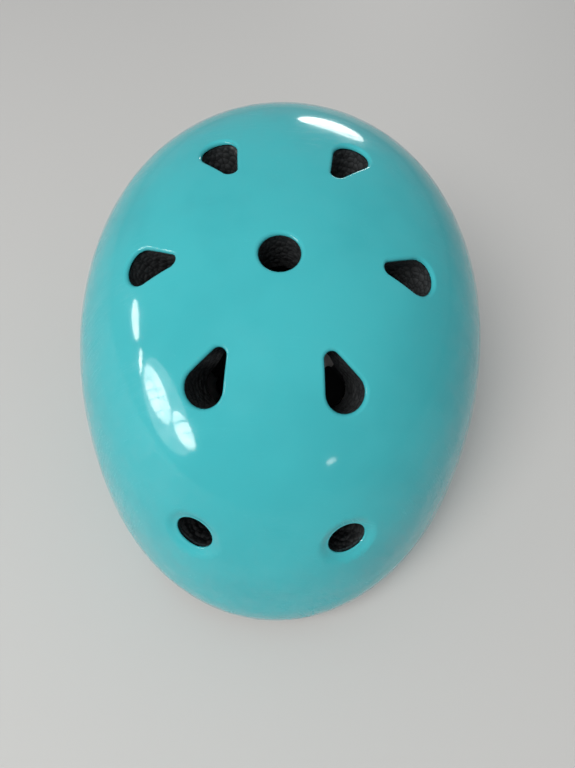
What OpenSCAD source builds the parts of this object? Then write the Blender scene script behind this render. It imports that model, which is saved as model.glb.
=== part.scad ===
// Hard-shell bicycle helmet: outer shell, foam liner, pads, chin straps with an
// open buckle tucked inside, and a dial fit system at the nape.
// The front faces -Y, the wearer's left is +X, and the side rims rest on z = 0.

/* [Shell] */
// Width of the shell at its widest section
shell_width = 216; // [190:1:240]
// Length of the shell at its widest section
shell_length = 260; // [230:1:290]
// Height of the dome above the widest section
dome_height = 125.5; // [100:0.5:140]
// Height of the widest section above the side rims
waist_height = 36; // [30:1:46]
// Rearward lean of the dome, per mm of height
dome_lean = 0.2; // [0:0.01:0.28]
// How much wider the rear half is than the front half
rear_fullness = 0.036; // [0:0.002:0.08]
// Squareness of the dome's profile, 2 is a true ellipse
dome_power = 2.42; // [2:0.02:2.8]
// How far the sides draw in from the widest section to the rim
rim_tuck = 5; // [0:0.5:10]
// Thickness of the moulded shell
shell_wall = 2.8; // [1.5:0.1:4]
// Lift of the shell's edge over the brow
brow_lift = 10; // [0:1:16]
// Lift of the shell's edge over the nape
nape_lift = 9; // [0:1:14]

/* [Vents] */
// Diameter of the round vent on the crown
crown_vent_d = 17; // [10:0.5:22]
// Crown vent, distance ahead of the middle of the widest section
crown_vent_ahead = 19.9; // [10:0.1:30]
// Radius of a teardrop vent's wide end
tear_wide_r = 8.2; // [5:0.1:9]
// Radius of a teardrop vent's narrow end
tear_tip_r = 3.2; // [2:0.1:5]
// Distance between the centres of a teardrop's two ends
tear_reach = 14; // [8:0.5:18]
// Front teardrops, wide end's distance out from the middle
front_vent_out = 27.6; // [23:0.1:30]
// Front teardrops, wide end's distance ahead of the middle of the widest section
front_vent_ahead = 68.4; // [64:0.1:72]
// Side teardrops, wide end's distance out from the middle
side_vent_out = 57.9; // [50:0.1:60]
// Side teardrops, wide end's distance ahead of the middle of the widest section
side_vent_ahead = 17.1; // [12:0.1:26]
// Rear teardrops, wide end's distance out from the middle
rear_vent_out = 29.4; // [24:0.1:32]
// Rear teardrops, wide end's distance behind the middle of the widest section
rear_vent_behind = 38; // [28:0.1:44]
// Diameter of a round vent low on the brow or nape
low_vent_d = 17; // [10:0.5:22]
// Height of the brow vents above the rims
brow_vent_height = 80.7; // [70:0.1:95]
// Bearing of a brow vent from the nose line, in degrees
brow_vent_bearing = 19.2; // [13:0.1:26]
// Height of the nape vents above the rims
nape_vent_height = 74; // [66:1:90]
// Bearing of a nape vent from the spine line, in degrees
nape_vent_bearing = 22; // [16:1:30]
// Depth of the soft dish around a low vent
dish_depth = 2.6; // [0:0.1:4]
// Width of the dish beyond the vent's edge
dish_margin = 6.2; // [4:0.2:9]

/* [Liner and pads] */
// Thickness of the foam liner
liner_wall = 24; // [16:0.5:28]
// Space between the shell and the liner
liner_gap = 0.3; // [0.2:0.1:0.6]
// Height of the liner's edge above the shell's edge
liner_rise = 8.5; // [7.8:0.1:12]
// How much wider than the shell's vents the liner's vents are, all round
liner_vent_extra = 1; // [0.5:0.1:2]
// Depth of the two air channels inside the liner
channel_depth = 6; // [2:0.5:9]
// Half width of an air channel
channel_r = 8; // [6:0.5:10]
// Distance of each air channel from the middle
channel_out = 25; // [20:1:30]
// Thickness of a comfort pad at its crown
pad_thick = 7; // [4:0.5:9]
// Space between the liner and a pad, which its hook dots bridge
pad_gap = 1.8; // [1.6:0.1:2.5]
// Diameter of a hook dot
dot_d = 10; // [6:1:11]
// Thickness of a hook dot
dot_thick = 0.7; // [0.5:0.1:0.8]

/* [Straps] */
// Width of the webbing
web_width = 15; // [12:0.5:18]
// Thickness of the webbing
web_thick = 1.6; // [1:0.1:2]
// Radius of the bars that the webbing loops round
bar_r = 1.5; // [1.2:0.1:2]
// Running clearance between a webbing loop and its bar
bar_play = 0.06; // [0.03:0.01:0.1]
// Height of the anchor bars above the rims
bar_height = 4.2; // [3.8:0.1:5]
// How far the anchor bars stand in from the liner's inner face at the ear line
anchor_inset = 2.9; // [0.5:0.1:5]
// Front anchors, distance ahead of the origin
front_anchor_ahead = 42; // [34:1:50]
// Rear anchors, distance behind the origin
rear_anchor_behind = 55; // [48:1:62]
// Divider's fold bar, distance out from the middle
fold_bar_out = 16; // [15:0.5:18]
// Divider's fold bar, distance behind the origin
fold_bar_behind = 12; // [6:1:18]
// Height of the fold bar above the rims
fold_bar_height = 3.6; // [3.4:0.1:4.5]
// Length of the chin strap from the fold bar to the buckle's bar
chin_length = 70; // [50:1:76]
// Thickness of a divider's plate
divider_thick = 4; // [3.4:0.1:4.6]
// Length of the strap tail past the buckle
tail_length = 36; // [20:1:44]

/* [Buckle] */
// Length of each buckle half past its webbing bar
buckle_length = 32; // [26:1:36]
// Width of the buckle
buckle_width = 25; // [22:0.5:27]
// Thickness of the buckle
buckle_thick = 8; // [7:0.2:10]
// Wall of the buckle's socket
socket_wall = 1.6; // [1.2:0.1:2]
// Play between the plug and the socket's mouth
plug_play = 0.3; // [0.15:0.05:0.5]
// Width of a springy prong
prong_width = 3; // [2:0.1:3.6]

/* [Dial fit system] */
// Space between the liner's face and the plane of the racks, at their outer ends
rack_room = 7.76; // [7.2:0.02:12]
// Height of the dial's axis above the rims
dial_height = 24; // [22:1:30]
// Width of the dial housing
housing_width = 50; // [46:1:51]
// Height of the dial housing
housing_height = 30; // [26:1:34]
// Wall of the dial housing
housing_wall = 2.4; // [1.6:0.1:3]
// Number of teeth on the pinion
pinion_teeth = 12; // [12:1:16]
// Module of the teeth, pitch diameter over number of teeth
tooth_module = 1; // [0.8:0.05:1.1]
// Backlash between the pinion and each rack
backlash = 0.25; // [0.1:0.05:0.4]
// Thickness of the rack tongues
rack_thick = 2.6; // [1.8:0.1:3]
// Play on each face of a rack tongue
rack_play = 0.3; // [0.2:0.05:0.5]
// Travel of each rack as the dial tightens
rack_travel = 12; // [8:0.5:12]
// Diameter of the dial knob
knob_d = 26; // [22:1:28]
// Depth of the dial knob
knob_depth = 9; // [6:0.5:10]
// Number of finger flutes round the knob
knob_flutes = 14; // [8:1:20]
// Radius of the knob's shaft
shaft_r = 2.5; // [2:0.1:3.5]
// Running clearance round the shaft
shaft_play = 0.06; // [0.03:0.01:0.1]
// Height of the head band
band_height = 16; // [12:1:18]
// Thickness of the head band
band_thick = 1.6; // [1.2:0.1:2.2]
// Space between the head band and the liner
band_gap = 3.2; // [2.2:0.1:4.5]
// Bearing of the temple plugs, in degrees ahead of the ear line
temple_bearing = 34; // [31:1:38]
// Radius of the temple plugs
plug_r = 4; // [3:0.1:5]

/* [Hidden] */

teal = [0.2, 0.72, 0.74];
foam_black = [0.09, 0.09, 0.1];
pad_grey = [0.2, 0.21, 0.22];
web_black = [0.12, 0.12, 0.13];
plastic_black = [0.07, 0.07, 0.08];
steel = [0.7, 0.7, 0.72];

// Depths of the layers inside the outer surface
liner_off = shell_wall + liner_gap;
inner_off = liner_off + liner_wall;
pad_off = inner_off + pad_gap;

// The anchors keep their distance from the liner
anchor_out = shell_width / 2 - inner_off - anchor_inset;
fold_bar = [fold_bar_out, fold_bar_behind];

// How finely the dome is divided: round, up the dome and down the skirt
around = 60;
dome_step = 6;
skirt_rows = 3;
eps = 0.01;

// The dome: a superellipse of revolution, leaned back, on a skirt that draws in
function waist_scale(z) = z >= waist_height
  ? pow(1 - pow(min(1, (z - waist_height) / dome_height), dome_power), 1 / dome_power)
  : 1 - 2 * rim_tuck / shell_width * pow(1 - z / waist_height, 2);
function height_at(scale) =
  waist_height + dome_height * pow(1 - pow(min(1, scale), dome_power), 1 / dome_power);
function lean(z) = z >= waist_height
  ? dome_lean * (z - waist_height)
  : dome_lean * (z - waist_height) * (1 - (waist_height - z) / waist_height / 2);
function lean_slope(z) = z >= waist_height ? dome_lean : dome_lean * z / waist_height;

// The whole length is centred on the origin
tops = [for (z = [0:1:waist_height + dome_height]) shell_length / 2 * waist_scale(z) + lean(z)];
toes = [for (z = [0:1:waist_height + dome_height]) shell_length / 2 * waist_scale(z) - lean(z)];
mid_shift = (max(toes) - max(tops)) / 2;

function skin(a, scale, z) = [
  shell_width / 2 * scale * cos(a) * (1 + rear_fullness * sin(a)),
  shell_length / 2 * scale * sin(a) + lean(z) + mid_shift,
  z
];

// Direction into the dome, level near the rim so that every layer's edge stays level
level_height = max(brow_lift, nape_lift) + 1;
function ramp(t) = let (c = max(0, min(1, t))) c * c * (3 - 2 * c);
function inward(a, scale, z) = let (
  w = max(0, z - waist_height) / dome_height,
  s = max(0, 1 - z / waist_height),
  pull = z >= waist_height ? pow(max(scale, eps), dome_power - 1) : 1,
  gx = pull * cos(a) / (shell_width / 2),
  gy = pull * sin(a) / (shell_length / 2),
  rise = z >= waist_height
    ? pow(w, dome_power - 1) / dome_height
    : -4 * rim_tuck / shell_width * s / waist_height,
  gz = (rise - gy * lean_slope(z)) * ramp((z - level_height) / waist_height),
  g = [gx, gy, gz]
) -g / norm(g);

// A soft dish sinks the surface around each low vent
low_vents = [
  for (side = [-1, 1]) [side, -1, brow_vent_bearing, brow_vent_height],
  for (side = [-1, 1]) [side, 1, nape_vent_bearing, nape_vent_height]
];
function low_angle(v) = v[1] * 90 - v[0] * v[1] * v[2];
function low_centre(v) = skin(low_angle(v), waist_scale(v[3]), v[3]);
function low_normal(v) = -inward(low_angle(v), waist_scale(v[3]), v[3]);
function unit(v) = v / norm(v);
function dish_at(p, v) = let (r = norm(p - low_centre(v)) / (low_vent_d / 2 + dish_margin))
  r >= 1 ? 0 : dish_depth * (1 + cos(180 * r)) / 2;
function dish(p) = let (d = [for (v = low_vents) dish_at(p, v)]) d[0] + d[1] + d[2] + d[3];

// A point of a layer: off mm inside the outer surface, with or without the dishes
function layer(a, scale, z, off, dished) = let (p = skin(a, scale, z))
  p + inward(a, scale, z) * (off + (dished ? dish(p) : 0));
function wall_point(a, z, off) = layer(a, waist_scale(z), z, off, false);
function disc_point(u, v, off) = let (s = norm([u, v]))
  layer(atan2(v, u), s, height_at(s), off, false);

// Rim height of the shell at a bearing
brow_from = 125;
brow_turn = 35;
nape_from = 130;
nape_turn = 30;
function rim(a) = let (front = abs(((a + 450) % 360) - 180), rear = 180 - front)
  brow_lift * ramp((front - brow_from) / brow_turn) + nape_lift * ramp((rear - nape_from) / nape_turn);

// Plan position to bearing and scale on the dome, found by repeated steps
function plan(x, y, z = waist_height + dome_height, turns = 14) = let (
  v = (y - lean(z)) / (shell_length / 2),
  u0 = x / (shell_width / 2),
  u = u0 / (1 + rear_fullness * v / max(norm([u0, v]), eps)),
  s = norm([u, v])
) turns == 0 ? [atan2(v, u), s, z] : plan(x, y, height_at(s), turns - 1);
function plan_centre(x, ahead) = let (p = plan(x, -ahead)) skin(p[0], p[1], p[2]);
function plan_normal(x, ahead) = let (p = plan(x, -ahead)) -inward(p[0], p[1], p[2]);

module stand_at(p, n, toward) {
  x = unit(toward - n * (toward * n));
  y = cross(n, x);
  multmatrix([
    [x[0], y[0], n[0], p[0]], [x[1], y[1], n[1], p[1]], [x[2], y[2], n[2], p[2]], [0, 0, 0, 1]
  ]) children();
}

// A closed solid from a pole through rings of points to another pole. The facets of
// the rings before turn are split the other way, so that nested layers run parallel
module ring_stack(first, rings, last, turn = 0) {
  n = len(rings[0]);
  count = len(rings);
  points = concat([for (r = rings) each r], [first, last]);
  faces = [
    for (i = [0:n - 1]) let (j = (i + 1) % n, end = (count - 1) * n) each [
      [count * n, i, j],
      [end + i, count * n + 1, end + j],
      for (k = [0:count - 2]) let (b = k * n) each (k < turn
        ? [[b + i, b + n + i, b + n + j], [b + i, b + n + j, b + j]]
        : [[b + i, b + n + i, b + j], [b + j, b + n + i, b + n + j]])
    ]
  ];
  polyhedron(points, faces);
}

// A closed dome between two offsets, its edge lifted by rise above the shell's rim
dome_turns = [for (t = [dome_step:dome_step:84]) t, 88];
function dome_rings(off, rise, dished) = [
  for (k = [0:skirt_rows]) [for (i = [0:around - 1]) let (
    a = i * 360 / around, low = rim(a) + rise, z = low + (waist_height - low) * k / skirt_rows
  ) layer(a, waist_scale(z), z, off, dished)],
  for (t = dome_turns) [for (i = [0:around - 1]) let (
    a = i * 360 / around, s = pow(cos(t), 2 / dome_power)
  ) layer(a, s, height_at(s), off, dished)]
];
function reverse(list) = [for (i = [len(list) - 1:-1:0]) list[i]];
module dome(off, thick, rise, inner_dished) {
  tip = [0, lean(waist_height + dome_height) + mid_shift, waist_height + dome_height];
  down = inward(90, eps, waist_height + dome_height);
  inner = reverse(dome_rings(off + thick, rise, inner_dished));
  outer = dome_rings(off, rise, true);
  ring_stack(tip + down * (off + thick), concat(inner, outer), tip + down * off, len(inner));
}

// The eleven vents as cutters, grown by extra all round
reach_out = 12;
tear_places = [
  [front_vent_out, front_vent_ahead], [side_vent_out, side_vent_ahead], [rear_vent_out, -rear_vent_behind]
];
module tear(extra, depth) {
  hull() {
    translate([0, 0, -depth]) cylinder(h = depth + reach_out, r = tear_wide_r + extra, $fn = 32);
    translate([tear_reach, 0, -depth])
      cylinder(h = depth + reach_out, r = tear_tip_r + extra, $fn = 32);
  }
}
module round_vent(d, extra, depth) {
  translate([0, 0, -depth]) cylinder(h = depth + reach_out, d = d + 2 * extra, $fn = 40);
}
module vents(extra, depth) {
  crown = plan_centre(0, crown_vent_ahead);
  stand_at(crown, plan_normal(0, crown_vent_ahead), [1, 0, 0]) round_vent(crown_vent_d, extra, depth);
  for (v = tear_places) for (side = [-1, 1]) {
    p = plan_centre(side * v[0], v[1]);
    stand_at(p, plan_normal(side * v[0], v[1]), crown - p) tear(extra, depth);
  }
  for (v = low_vents) stand_at(low_centre(v), low_normal(v), [0, 0, 1]) round_vent(low_vent_d, extra, depth);
}

vent_margin = 9;

module outer_shell() {
  color(teal) difference() {
    dome(0, shell_wall, 0, true);
    vents(0, shell_wall + vent_margin);
  }
}

// Air channels run front to back inside the liner and join the vents
channel_front = -98;
channel_back = 100;
channel_steps = 11;
function channel_point(side, k) = let (
  y = channel_front + (channel_back - channel_front) * k / channel_steps,
  p = plan(side * channel_out, y)
) layer(p[0], p[1], p[2], inner_off + channel_r - channel_depth, false);
module air_channel(side) {
  for (k = [0:channel_steps - 1]) hull() {
    translate(channel_point(side, k)) sphere(r = channel_r, $fn = 12);
    translate(channel_point(side, k + 1)) sphere(r = channel_r, $fn = 12);
  }
}
module eps_liner() {
  color(foam_black) difference() {
    dome(liner_off, liner_wall, liner_rise, false);
    vents(liner_vent_extra, inner_off + vent_margin);
    air_channel(1);
    air_channel(-1);
    for (side = [1, -1]) {
      for (y = anchor_places) sided(side) anchor_shape(y, seat_gap);
      temple_frame(side) translate([0, 0, -band_gap])
        cylinder(h = plug_depth + band_gap, r = plug_r + seat_gap, $fn = 24);
      hanger_frame(side) translate([0, 0, -hanger_gap])
        cylinder(h = pin_depth + 1, r = pin_r + seat_gap, $fn = 24);
    }
  }
}

// Comfort pads: closed cushions with a crown, drawn-in sides and rounded corners
pad_sides = 28;
pad_base = [0.55, 0.95];
pad_crown = [[1, 0.3], [0.97, 0.58], [0.88, 0.8], [0.6, 0.96]];
pad_squareness = 0.6;
function corner(c) = sign(c) * pow(abs(c), pad_squareness);
function wall_place(at, size, r, t, off) = wall_point(
  at[0] - size[0] * r * corner(cos(t)), at[1] + size[1] * r * corner(sin(t)), off);
function wall_ring(at, size, r, off) =
  [for (i = [0:pad_sides - 1]) wall_place(at, size, r, i * 360 / pad_sides, off)];
// at is [bearing, height] of the pad's middle and size its [half bearing, half height]
module wall_pad(at, size) {
  color(pad_grey) ring_stack(
    wall_point(at[0], at[1], pad_off),
    concat(
      [for (r = pad_base) wall_ring(at, size, r, pad_off)],
      [for (c = pad_crown) wall_ring(at, size, c[0], pad_off + pad_thick * c[1])]
    ),
    wall_point(at[0], at[1], pad_off + pad_thick)
  );
}
front_pad_z = 64;
front_pad_rise = 40;
rear_pad_z = 74;
rear_pad_rise = 21;
side_pad_z = 68;
side_pad_rise = 22;
front_pad_at = [-90, front_pad_z];
front_pad_size = [36, front_pad_rise];
rear_pad_at = [90, rear_pad_z];
rear_pad_size = [15, rear_pad_rise];
side_pad_at = [5, side_pad_z];
side_pad_size = [24, side_pad_rise];
module front_pad() { wall_pad(front_pad_at, front_pad_size); }
module rear_pad() { wall_pad(rear_pad_at, rear_pad_size); }
module side_pad_left() { wall_pad(side_pad_at, side_pad_size); }
module side_pad_right() { wall_pad([180 - side_pad_at[0], side_pad_at[1]], side_pad_size); }

// The crown pad is a strip along the middle, between the rear vents
crown_pad_at = [0, 0.04];
crown_pad_size = [0.1, 0.26];
function disc_ring(r, off) = [
  for (i = [0:pad_sides - 1]) let (t = -i * 360 / pad_sides) disc_point(
    crown_pad_at[0] + crown_pad_size[0] * r * corner(cos(t)),
    crown_pad_at[1] + crown_pad_size[1] * r * corner(sin(t)), off)
];
module crown_pad() {
  color(pad_grey) ring_stack(
    disc_point(crown_pad_at[0], crown_pad_at[1], pad_off),
    concat(
      [for (r = pad_base) disc_ring(r, pad_off)],
      [for (c = pad_crown) disc_ring(c[0], pad_off + pad_thick * c[1])]
    ),
    disc_point(crown_pad_at[0], crown_pad_at[1], pad_off + pad_thick)
  );
}

// Hook dots hold the pads to the liner
dot_spread = 0.5;
module dot(p, n) {
  stand_at(p, n, [0, 0, 1]) translate([0, 0, -dot_thick / 2]) cylinder(h = dot_thick, d = dot_d, $fn = 32);
}
module wall_dots(at, size) {
  for (end = [-1, 1]) {
    a = at[0] + end * dot_spread * size[0];
    dot(wall_point(a, at[1], inner_off + pad_gap / 2), -inward(a, waist_scale(at[1]), at[1]));
  }
}
module hook_dots() {
  color(web_black) {
    wall_dots(front_pad_at, front_pad_size);
    wall_dots(rear_pad_at, rear_pad_size);
    wall_dots(side_pad_at, side_pad_size);
    wall_dots([180 - side_pad_at[0], side_pad_at[1]], side_pad_size);
    for (end = [-1, 1]) {
      v = crown_pad_at[1] + end * dot_spread * crown_pad_size[1];
      n = -inward(v < 0 ? -90 : 90, abs(v), height_at(abs(v)));
      stand_at(disc_point(0, v, inner_off + pad_gap / 2), n, [1, 0, 0])
        translate([0, 0, -dot_thick / 2]) cylinder(h = dot_thick, d = dot_d, $fn = 32);
    }
  }
}

// Straps. Everything is drawn for the wearer's left and mirrored for the right
module sided(side) {
  if (side > 0) children();
  else mirror([1, 0, 0]) children();
}
seat_gap = 0.3;
loop_r = bar_r + bar_play + web_thick;
web_low = bar_height - loop_r;
anchor_places = [-front_anchor_ahead, rear_anchor_behind];
cheek = 2.2;
cheek_gap = 0.4;
anchor_half = web_width / 2 + cheek_gap + cheek;
anchor_plate = 2.6;
anchor_plate_gap = 0.5;
anchor_plate_low = bar_height + loop_r + anchor_plate_gap;
cheek_r = loop_r - seat_gap;
anchor_plate_deep = 9;
post_r = 2.4;
post_height = 13;
post_out = 6;
module along_y(length, r, fn = 48) {
  rotate([-90, 0, 0]) cylinder(h = length, r = r, center = true, $fn = fn);
}
// The anchor's plate and posts, grown by extra for its pocket in the liner
module anchor_shape(y, extra) {
  translate([anchor_out, y, 0]) {
    translate([-anchor_plate_deep / 2 - extra, -anchor_half - extra, anchor_plate_low - extra * 4])
      cube([anchor_plate_deep + 2 * extra, 2 * (anchor_half + extra), anchor_plate + 5 * extra]);
    for (end = [-1, 1]) translate([0, end * post_out, anchor_plate_low + anchor_plate / 2])
      cylinder(h = post_height + extra, r = post_r + extra, $fn = 24);
  }
}
module strap_anchor(side, y) {
  color(plastic_black) sided(side) {
    anchor_shape(y, 0);
    translate([anchor_out, y, bar_height]) {
      along_y(2 * anchor_half - cheek, bar_r);
      for (end = [-1, 1])
        translate([0, end * (anchor_half - cheek / 2), 0]) {
          along_y(cheek, cheek_r);
          translate([-cheek_r, -cheek / 2, 0])
            cube([2 * cheek_r, cheek, anchor_plate_low - bar_height + eps]);
        }
    }
  }
}
module strap_anchor_front_left() { strap_anchor(1, -front_anchor_ahead); }
module strap_anchor_rear_left() { strap_anchor(1, rear_anchor_behind); }
module strap_anchor_front_right() { strap_anchor(-1, -front_anchor_ahead); }
module strap_anchor_rear_right() { strap_anchor(-1, rear_anchor_behind); }

// A flat run of webbing along a curve of four control points
curve_steps = 12;
function curve(p, t) = pow(1 - t, 3) * p[0] + 3 * pow(1 - t, 2) * t * p[1]
  + 3 * (1 - t) * t * t * p[2] + pow(t, 3) * p[3];
function curve_dir(p, t) = unit(3 * pow(1 - t, 2) * (p[1] - p[0])
  + 6 * (1 - t) * t * (p[2] - p[1]) + 3 * t * t * (p[3] - p[2]));
function curve_edge(p, side, half) = [
  for (k = [0:curve_steps]) let (t = k / curve_steps, d = curve_dir(p, t))
    curve(p, t) + side * half * [-d[1], d[0]]
];
module ribbon(p, half) {
  polygon(concat(curve_edge(p, 1, half), reverse(curve_edge(p, -1, half))));
}
// Where each strand's end lies in the divider, measured from the fold bar
front_end = fold_bar + [13, -12];
rear_end = fold_bar + [18, 7];
strand_bend = 22;
front_lean = [15, -26];
rear_lean = [16, 17];
front_route = [
  [anchor_out, -front_anchor_ahead], [anchor_out - strand_bend, -front_anchor_ahead],
  front_end + front_lean, front_end
];
rear_route = [
  [anchor_out, rear_anchor_behind], [anchor_out - strand_bend, rear_anchor_behind],
  rear_end + rear_lean, rear_end
];
function mirrored(route) = [for (p = route) [-p[0], p[1]]];
module strand(route) {
  color(web_black) {
    translate([0, 0, web_low]) linear_extrude(web_thick) ribbon(route, web_width / 2);
    translate([route[0][0], route[0][1], bar_height]) difference() {
      along_y(web_width, loop_r);
      along_y(web_width + 1, bar_r + bar_play);
    }
  }
}
module front_strap_left() { strand(front_route); }
module rear_strap_left() { strand(rear_route); }
module front_strap_right() { strand(mirrored(front_route)); }
module rear_strap_right() { strand(mirrored(rear_route)); }

// The divider: a plate with two pockets for the strands and a slanted fold bar,
// where the chin strap turns from the strands' run to lie along the middle
plate_low = 0.3;
ear = 2.6;
fold_half = web_width / sqrt(2);
ear_at = fold_half + cheek_gap;
ear_top = fold_bar_height + bar_r - seat_gap;
plate_r = 2.5;
plate_spots = [front_end + [-8, -6], front_end + [7, 3], rear_end + [6, -7], rear_end + [-3, 7]];
module at_fold() { translate([fold_bar[0], fold_bar[1], 0]) rotate(45) children(); }
module plate_outline() {
  hull() {
    at_fold() for (end = [-1, 1]) translate([end * (ear_at + ear / 2), -1]) circle(r = plate_r, $fn = 24);
    for (p = plate_spots) translate(p) circle(r = plate_r, $fn = 24);
  }
}
module strap_divider(side) {
  pocket = web_thick + 0.4;
  color(plastic_black) sided(side) difference() {
    union() {
      translate([0, 0, plate_low]) linear_extrude(divider_thick) plate_outline();
      at_fold() {
        translate([0, 0, fold_bar_height]) rotate([0, 90, 0])
          cylinder(h = 2 * ear_at + ear, r = bar_r, center = true, $fn = 48);
        for (end = [-1, 1]) translate([end * (ear_at + ear / 2) - ear / 2, -bar_r - 1, plate_low])
          cube([ear, 2 * bar_r + 2, ear_top - plate_low]);
      }
    }
    at_fold() difference() {
      translate([-ear_at, 0, fold_bar_height]) rotate([0, 90, 0])
        cylinder(h = 2 * ear_at, r = loop_r + 0.4, $fn = 48);
      translate([-ear_at - 1, 0, fold_bar_height]) rotate([0, 90, 0])
        cylinder(h = 2 * ear_at + 2, r = bar_r, $fn = 48);
    }
    at_fold() translate([-ear_at - 2 * ear, -2 * bar_r, ear_top])
      cube([2 * (ear_at + 2 * ear), 4 * bar_r, bar_r]);
    translate([0, 0, web_low - 0.2]) linear_extrude(pocket) {
      ribbon(front_route, web_width / 2 + 0.3);
      ribbon(rear_route, web_width / 2 + 0.3);
    }
  }
}
module strap_divider_left() { strap_divider(1); }
module strap_divider_right() { strap_divider(-1); }

// The chin strap leaves the top of the fold bar, drops past the divider and runs
// flat to the buckle's bar
buckle_bar = [fold_bar[0], fold_bar[1] - chin_length];
lap = 0.06;
fold_top = fold_bar_height + bar_r + bar_play + lap;
drop_after = 25;
drop_long = 16;
drop_from = fold_bar[1] - drop_after;
drop_to = drop_from - drop_long;
notch_long = 3.6;
notch = notch_long / sqrt(2);
nip = 0.4;
module chin_profile(low, thick, start, end) {
  rise = low - web_low;
  high = fold_top + rise;
  polygon([
    [start, high], [drop_from, high], [drop_to, low], [end, low],
    [end, low + thick], [drop_to, low + thick], [drop_from, high + thick], [start, high + thick]
  ]);
}
module chin_run(low, thick, start, end) {
  rotate([90, 0, 90]) linear_extrude(shell_width, center = true) chin_profile(low, thick, start, end);
}
module chin_outline(end) {
  x = fold_bar[0];
  y = fold_bar[1];
  h = web_width / 2;
  polygon([
    [x + h - nip, y + h - nip], [x - h + nip, y - h + nip], [x - h + nip + notch, y - h + nip - notch],
    [x - h, y - h - 3 * notch], [x - h, end], [x + h, end], [x + h, y + h - 2 * nip]
  ]);
}
module chin_strap(side) {
  color(web_black) sided(side) {
    intersection() {
      chin_run(web_low, web_thick, fold_bar[1] + web_width, buckle_bar[1]);
      linear_extrude(3 * bar_height) chin_outline(buckle_bar[1]);
    }
    at_fold() translate([0, 0, fold_bar_height]) rotate([0, 90, 0]) difference() {
      cylinder(h = 2 * fold_half, r = loop_r, center = true, $fn = 48);
      cylinder(h = 2 * fold_half + 1, r = bar_r + bar_play, center = true, $fn = 48);
    }
    translate([buckle_bar[0], buckle_bar[1], bar_height]) rotate([0, 90, 0]) difference() {
      cylinder(h = web_width, r = loop_r, center = true, $fn = 48);
      cylinder(h = web_width + 1, r = bar_r + bar_play, center = true, $fn = 48);
    }
  }
}
module chin_strap_left() { chin_strap(1); }
module chin_strap_right() { chin_strap(-1); }

// The spare tail lies on the right chin strap, held by a sliding keeper
tail_gap = 0.25;
tail_low = web_low + web_thick + tail_gap;
tail_thick = web_thick - 0.2;
tail_start = buckle_bar[1] + loop_r + 2 * seat_gap;
module strap_tail() {
  color(web_black) mirror([1, 0, 0]) intersection() {
    chin_run(tail_low, tail_thick, fold_bar[1] + web_width, tail_start);
    translate([fold_bar[0] - web_width / 2, tail_start, 0])
      cube([web_width, tail_length, bar_height * 3]);
  }
}
keeper_wall = 0.7;
keeper_long = 6;
keeper_gap = 0.25;
keeper_after = 6;
keeper_from = drop_to - keeper_after;
module strap_keeper() {
  inner_w = web_width + 2 * keeper_gap;
  inner_low = web_low - keeper_gap;
  inner_h = tail_low + tail_thick + keeper_gap - inner_low;
  color(plastic_black) mirror([1, 0, 0]) translate([fold_bar[0], keeper_from, inner_low]) difference() {
    translate([-inner_w / 2 - keeper_wall, -keeper_long, -keeper_wall])
      cube([inner_w + 2 * keeper_wall, keeper_long, inner_h + 2 * keeper_wall]);
    translate([-inner_w / 2, -keeper_long - 1, 0]) cube([inner_w, keeper_long + 2, inner_h]);
  }
}

// A rounded rectangle about the origin
function arc_points(c, r, from, n = 5) =
  [for (k = [0:n]) c + r * [cos(from + 90 * k / n), sin(from + 90 * k / n)]];
module round_rect(w, l, r) {
  polygon(concat(
    arc_points([w / 2 - r, l / 2 - r], r, 0), arc_points([-w / 2 + r, l / 2 - r], r, 90),
    arc_points([-w / 2 + r, -l / 2 + r], r, 180), arc_points([w / 2 - r, -l / 2 + r], r, 270)
  ));
}
// Both buckle halves share the cheeks that hold their webbing bar
buckle_low = bar_height - buckle_thick / 2;
loop_room = 0.5;
buckle_corner = 3;
body_from = loop_r + loop_room;
module buckle_root(end) {
  difference() {
    translate([0, -(end - body_from) / 2, buckle_low]) linear_extrude(buckle_thick)
      round_rect(buckle_width, end + body_from, buckle_corner);
    translate([-web_width / 2 - cheek_gap, -body_from, buckle_low - 1])
      cube([web_width + 2 * cheek_gap, 3 * body_from, buckle_thick + 2]);
  }
  translate([0, 0, bar_height]) rotate([0, 90, 0])
    cylinder(h = web_width + 2 * cheek_gap + 1, r = bar_r, center = true, $fn = 48);
}
socket_w = buckle_width - 2 * socket_wall;
socket_h = buckle_thick - 2 * socket_wall;
socket_back = 3.5;
socket_from = body_from + socket_back;
window_from = 16;
window_long = 9;
module buckle_socket() {
  color(plastic_black) translate([buckle_bar[0], buckle_bar[1], 0]) difference() {
    buckle_root(buckle_length);
    translate([-socket_w / 2, -buckle_length - 1, bar_height - socket_h / 2])
      cube([socket_w, buckle_length + 1 - socket_from, socket_h]);
    translate([-buckle_width, -window_from - window_long, bar_height - socket_h / 2])
      cube([2 * buckle_width, window_long, socket_h]);
  }
}
plug_w = socket_w - 2 * plug_play;
plug_h = socket_h - 2 * plug_play;
root_in = 2.2;
prong_root = [plug_w / 2 - root_in, -13];
root_r = 1.9;
root_play = 0.2;
seat_r = root_r + root_play;
plug_base = 12.5;
tongue_w = 5;
tongue_short = 3;
tongue_end = -buckle_length + tongue_short;
module buckle_plug() {
  color(plastic_black) mirror([1, 0, 0]) translate([buckle_bar[0], buckle_bar[1], 0]) {
    difference() {
      buckle_root(plug_base + root_r);
      for (side = [-1, 1]) sided(side) translate([prong_root[0], prong_root[1], buckle_low - 1]) {
        cylinder(h = buckle_thick + 2, r = seat_r, $fn = 32);
        translate([-seat_r, -2 * root_r, 0]) cube([2 * seat_r + plug_w, 2 * root_r, buckle_thick + 2]);
      }
    }
    translate([-tongue_w / 2, tongue_end, bar_height - plug_h / 2])
      cube([tongue_w, -body_from - 1 - tongue_end, plug_h]);
  }
}
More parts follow.
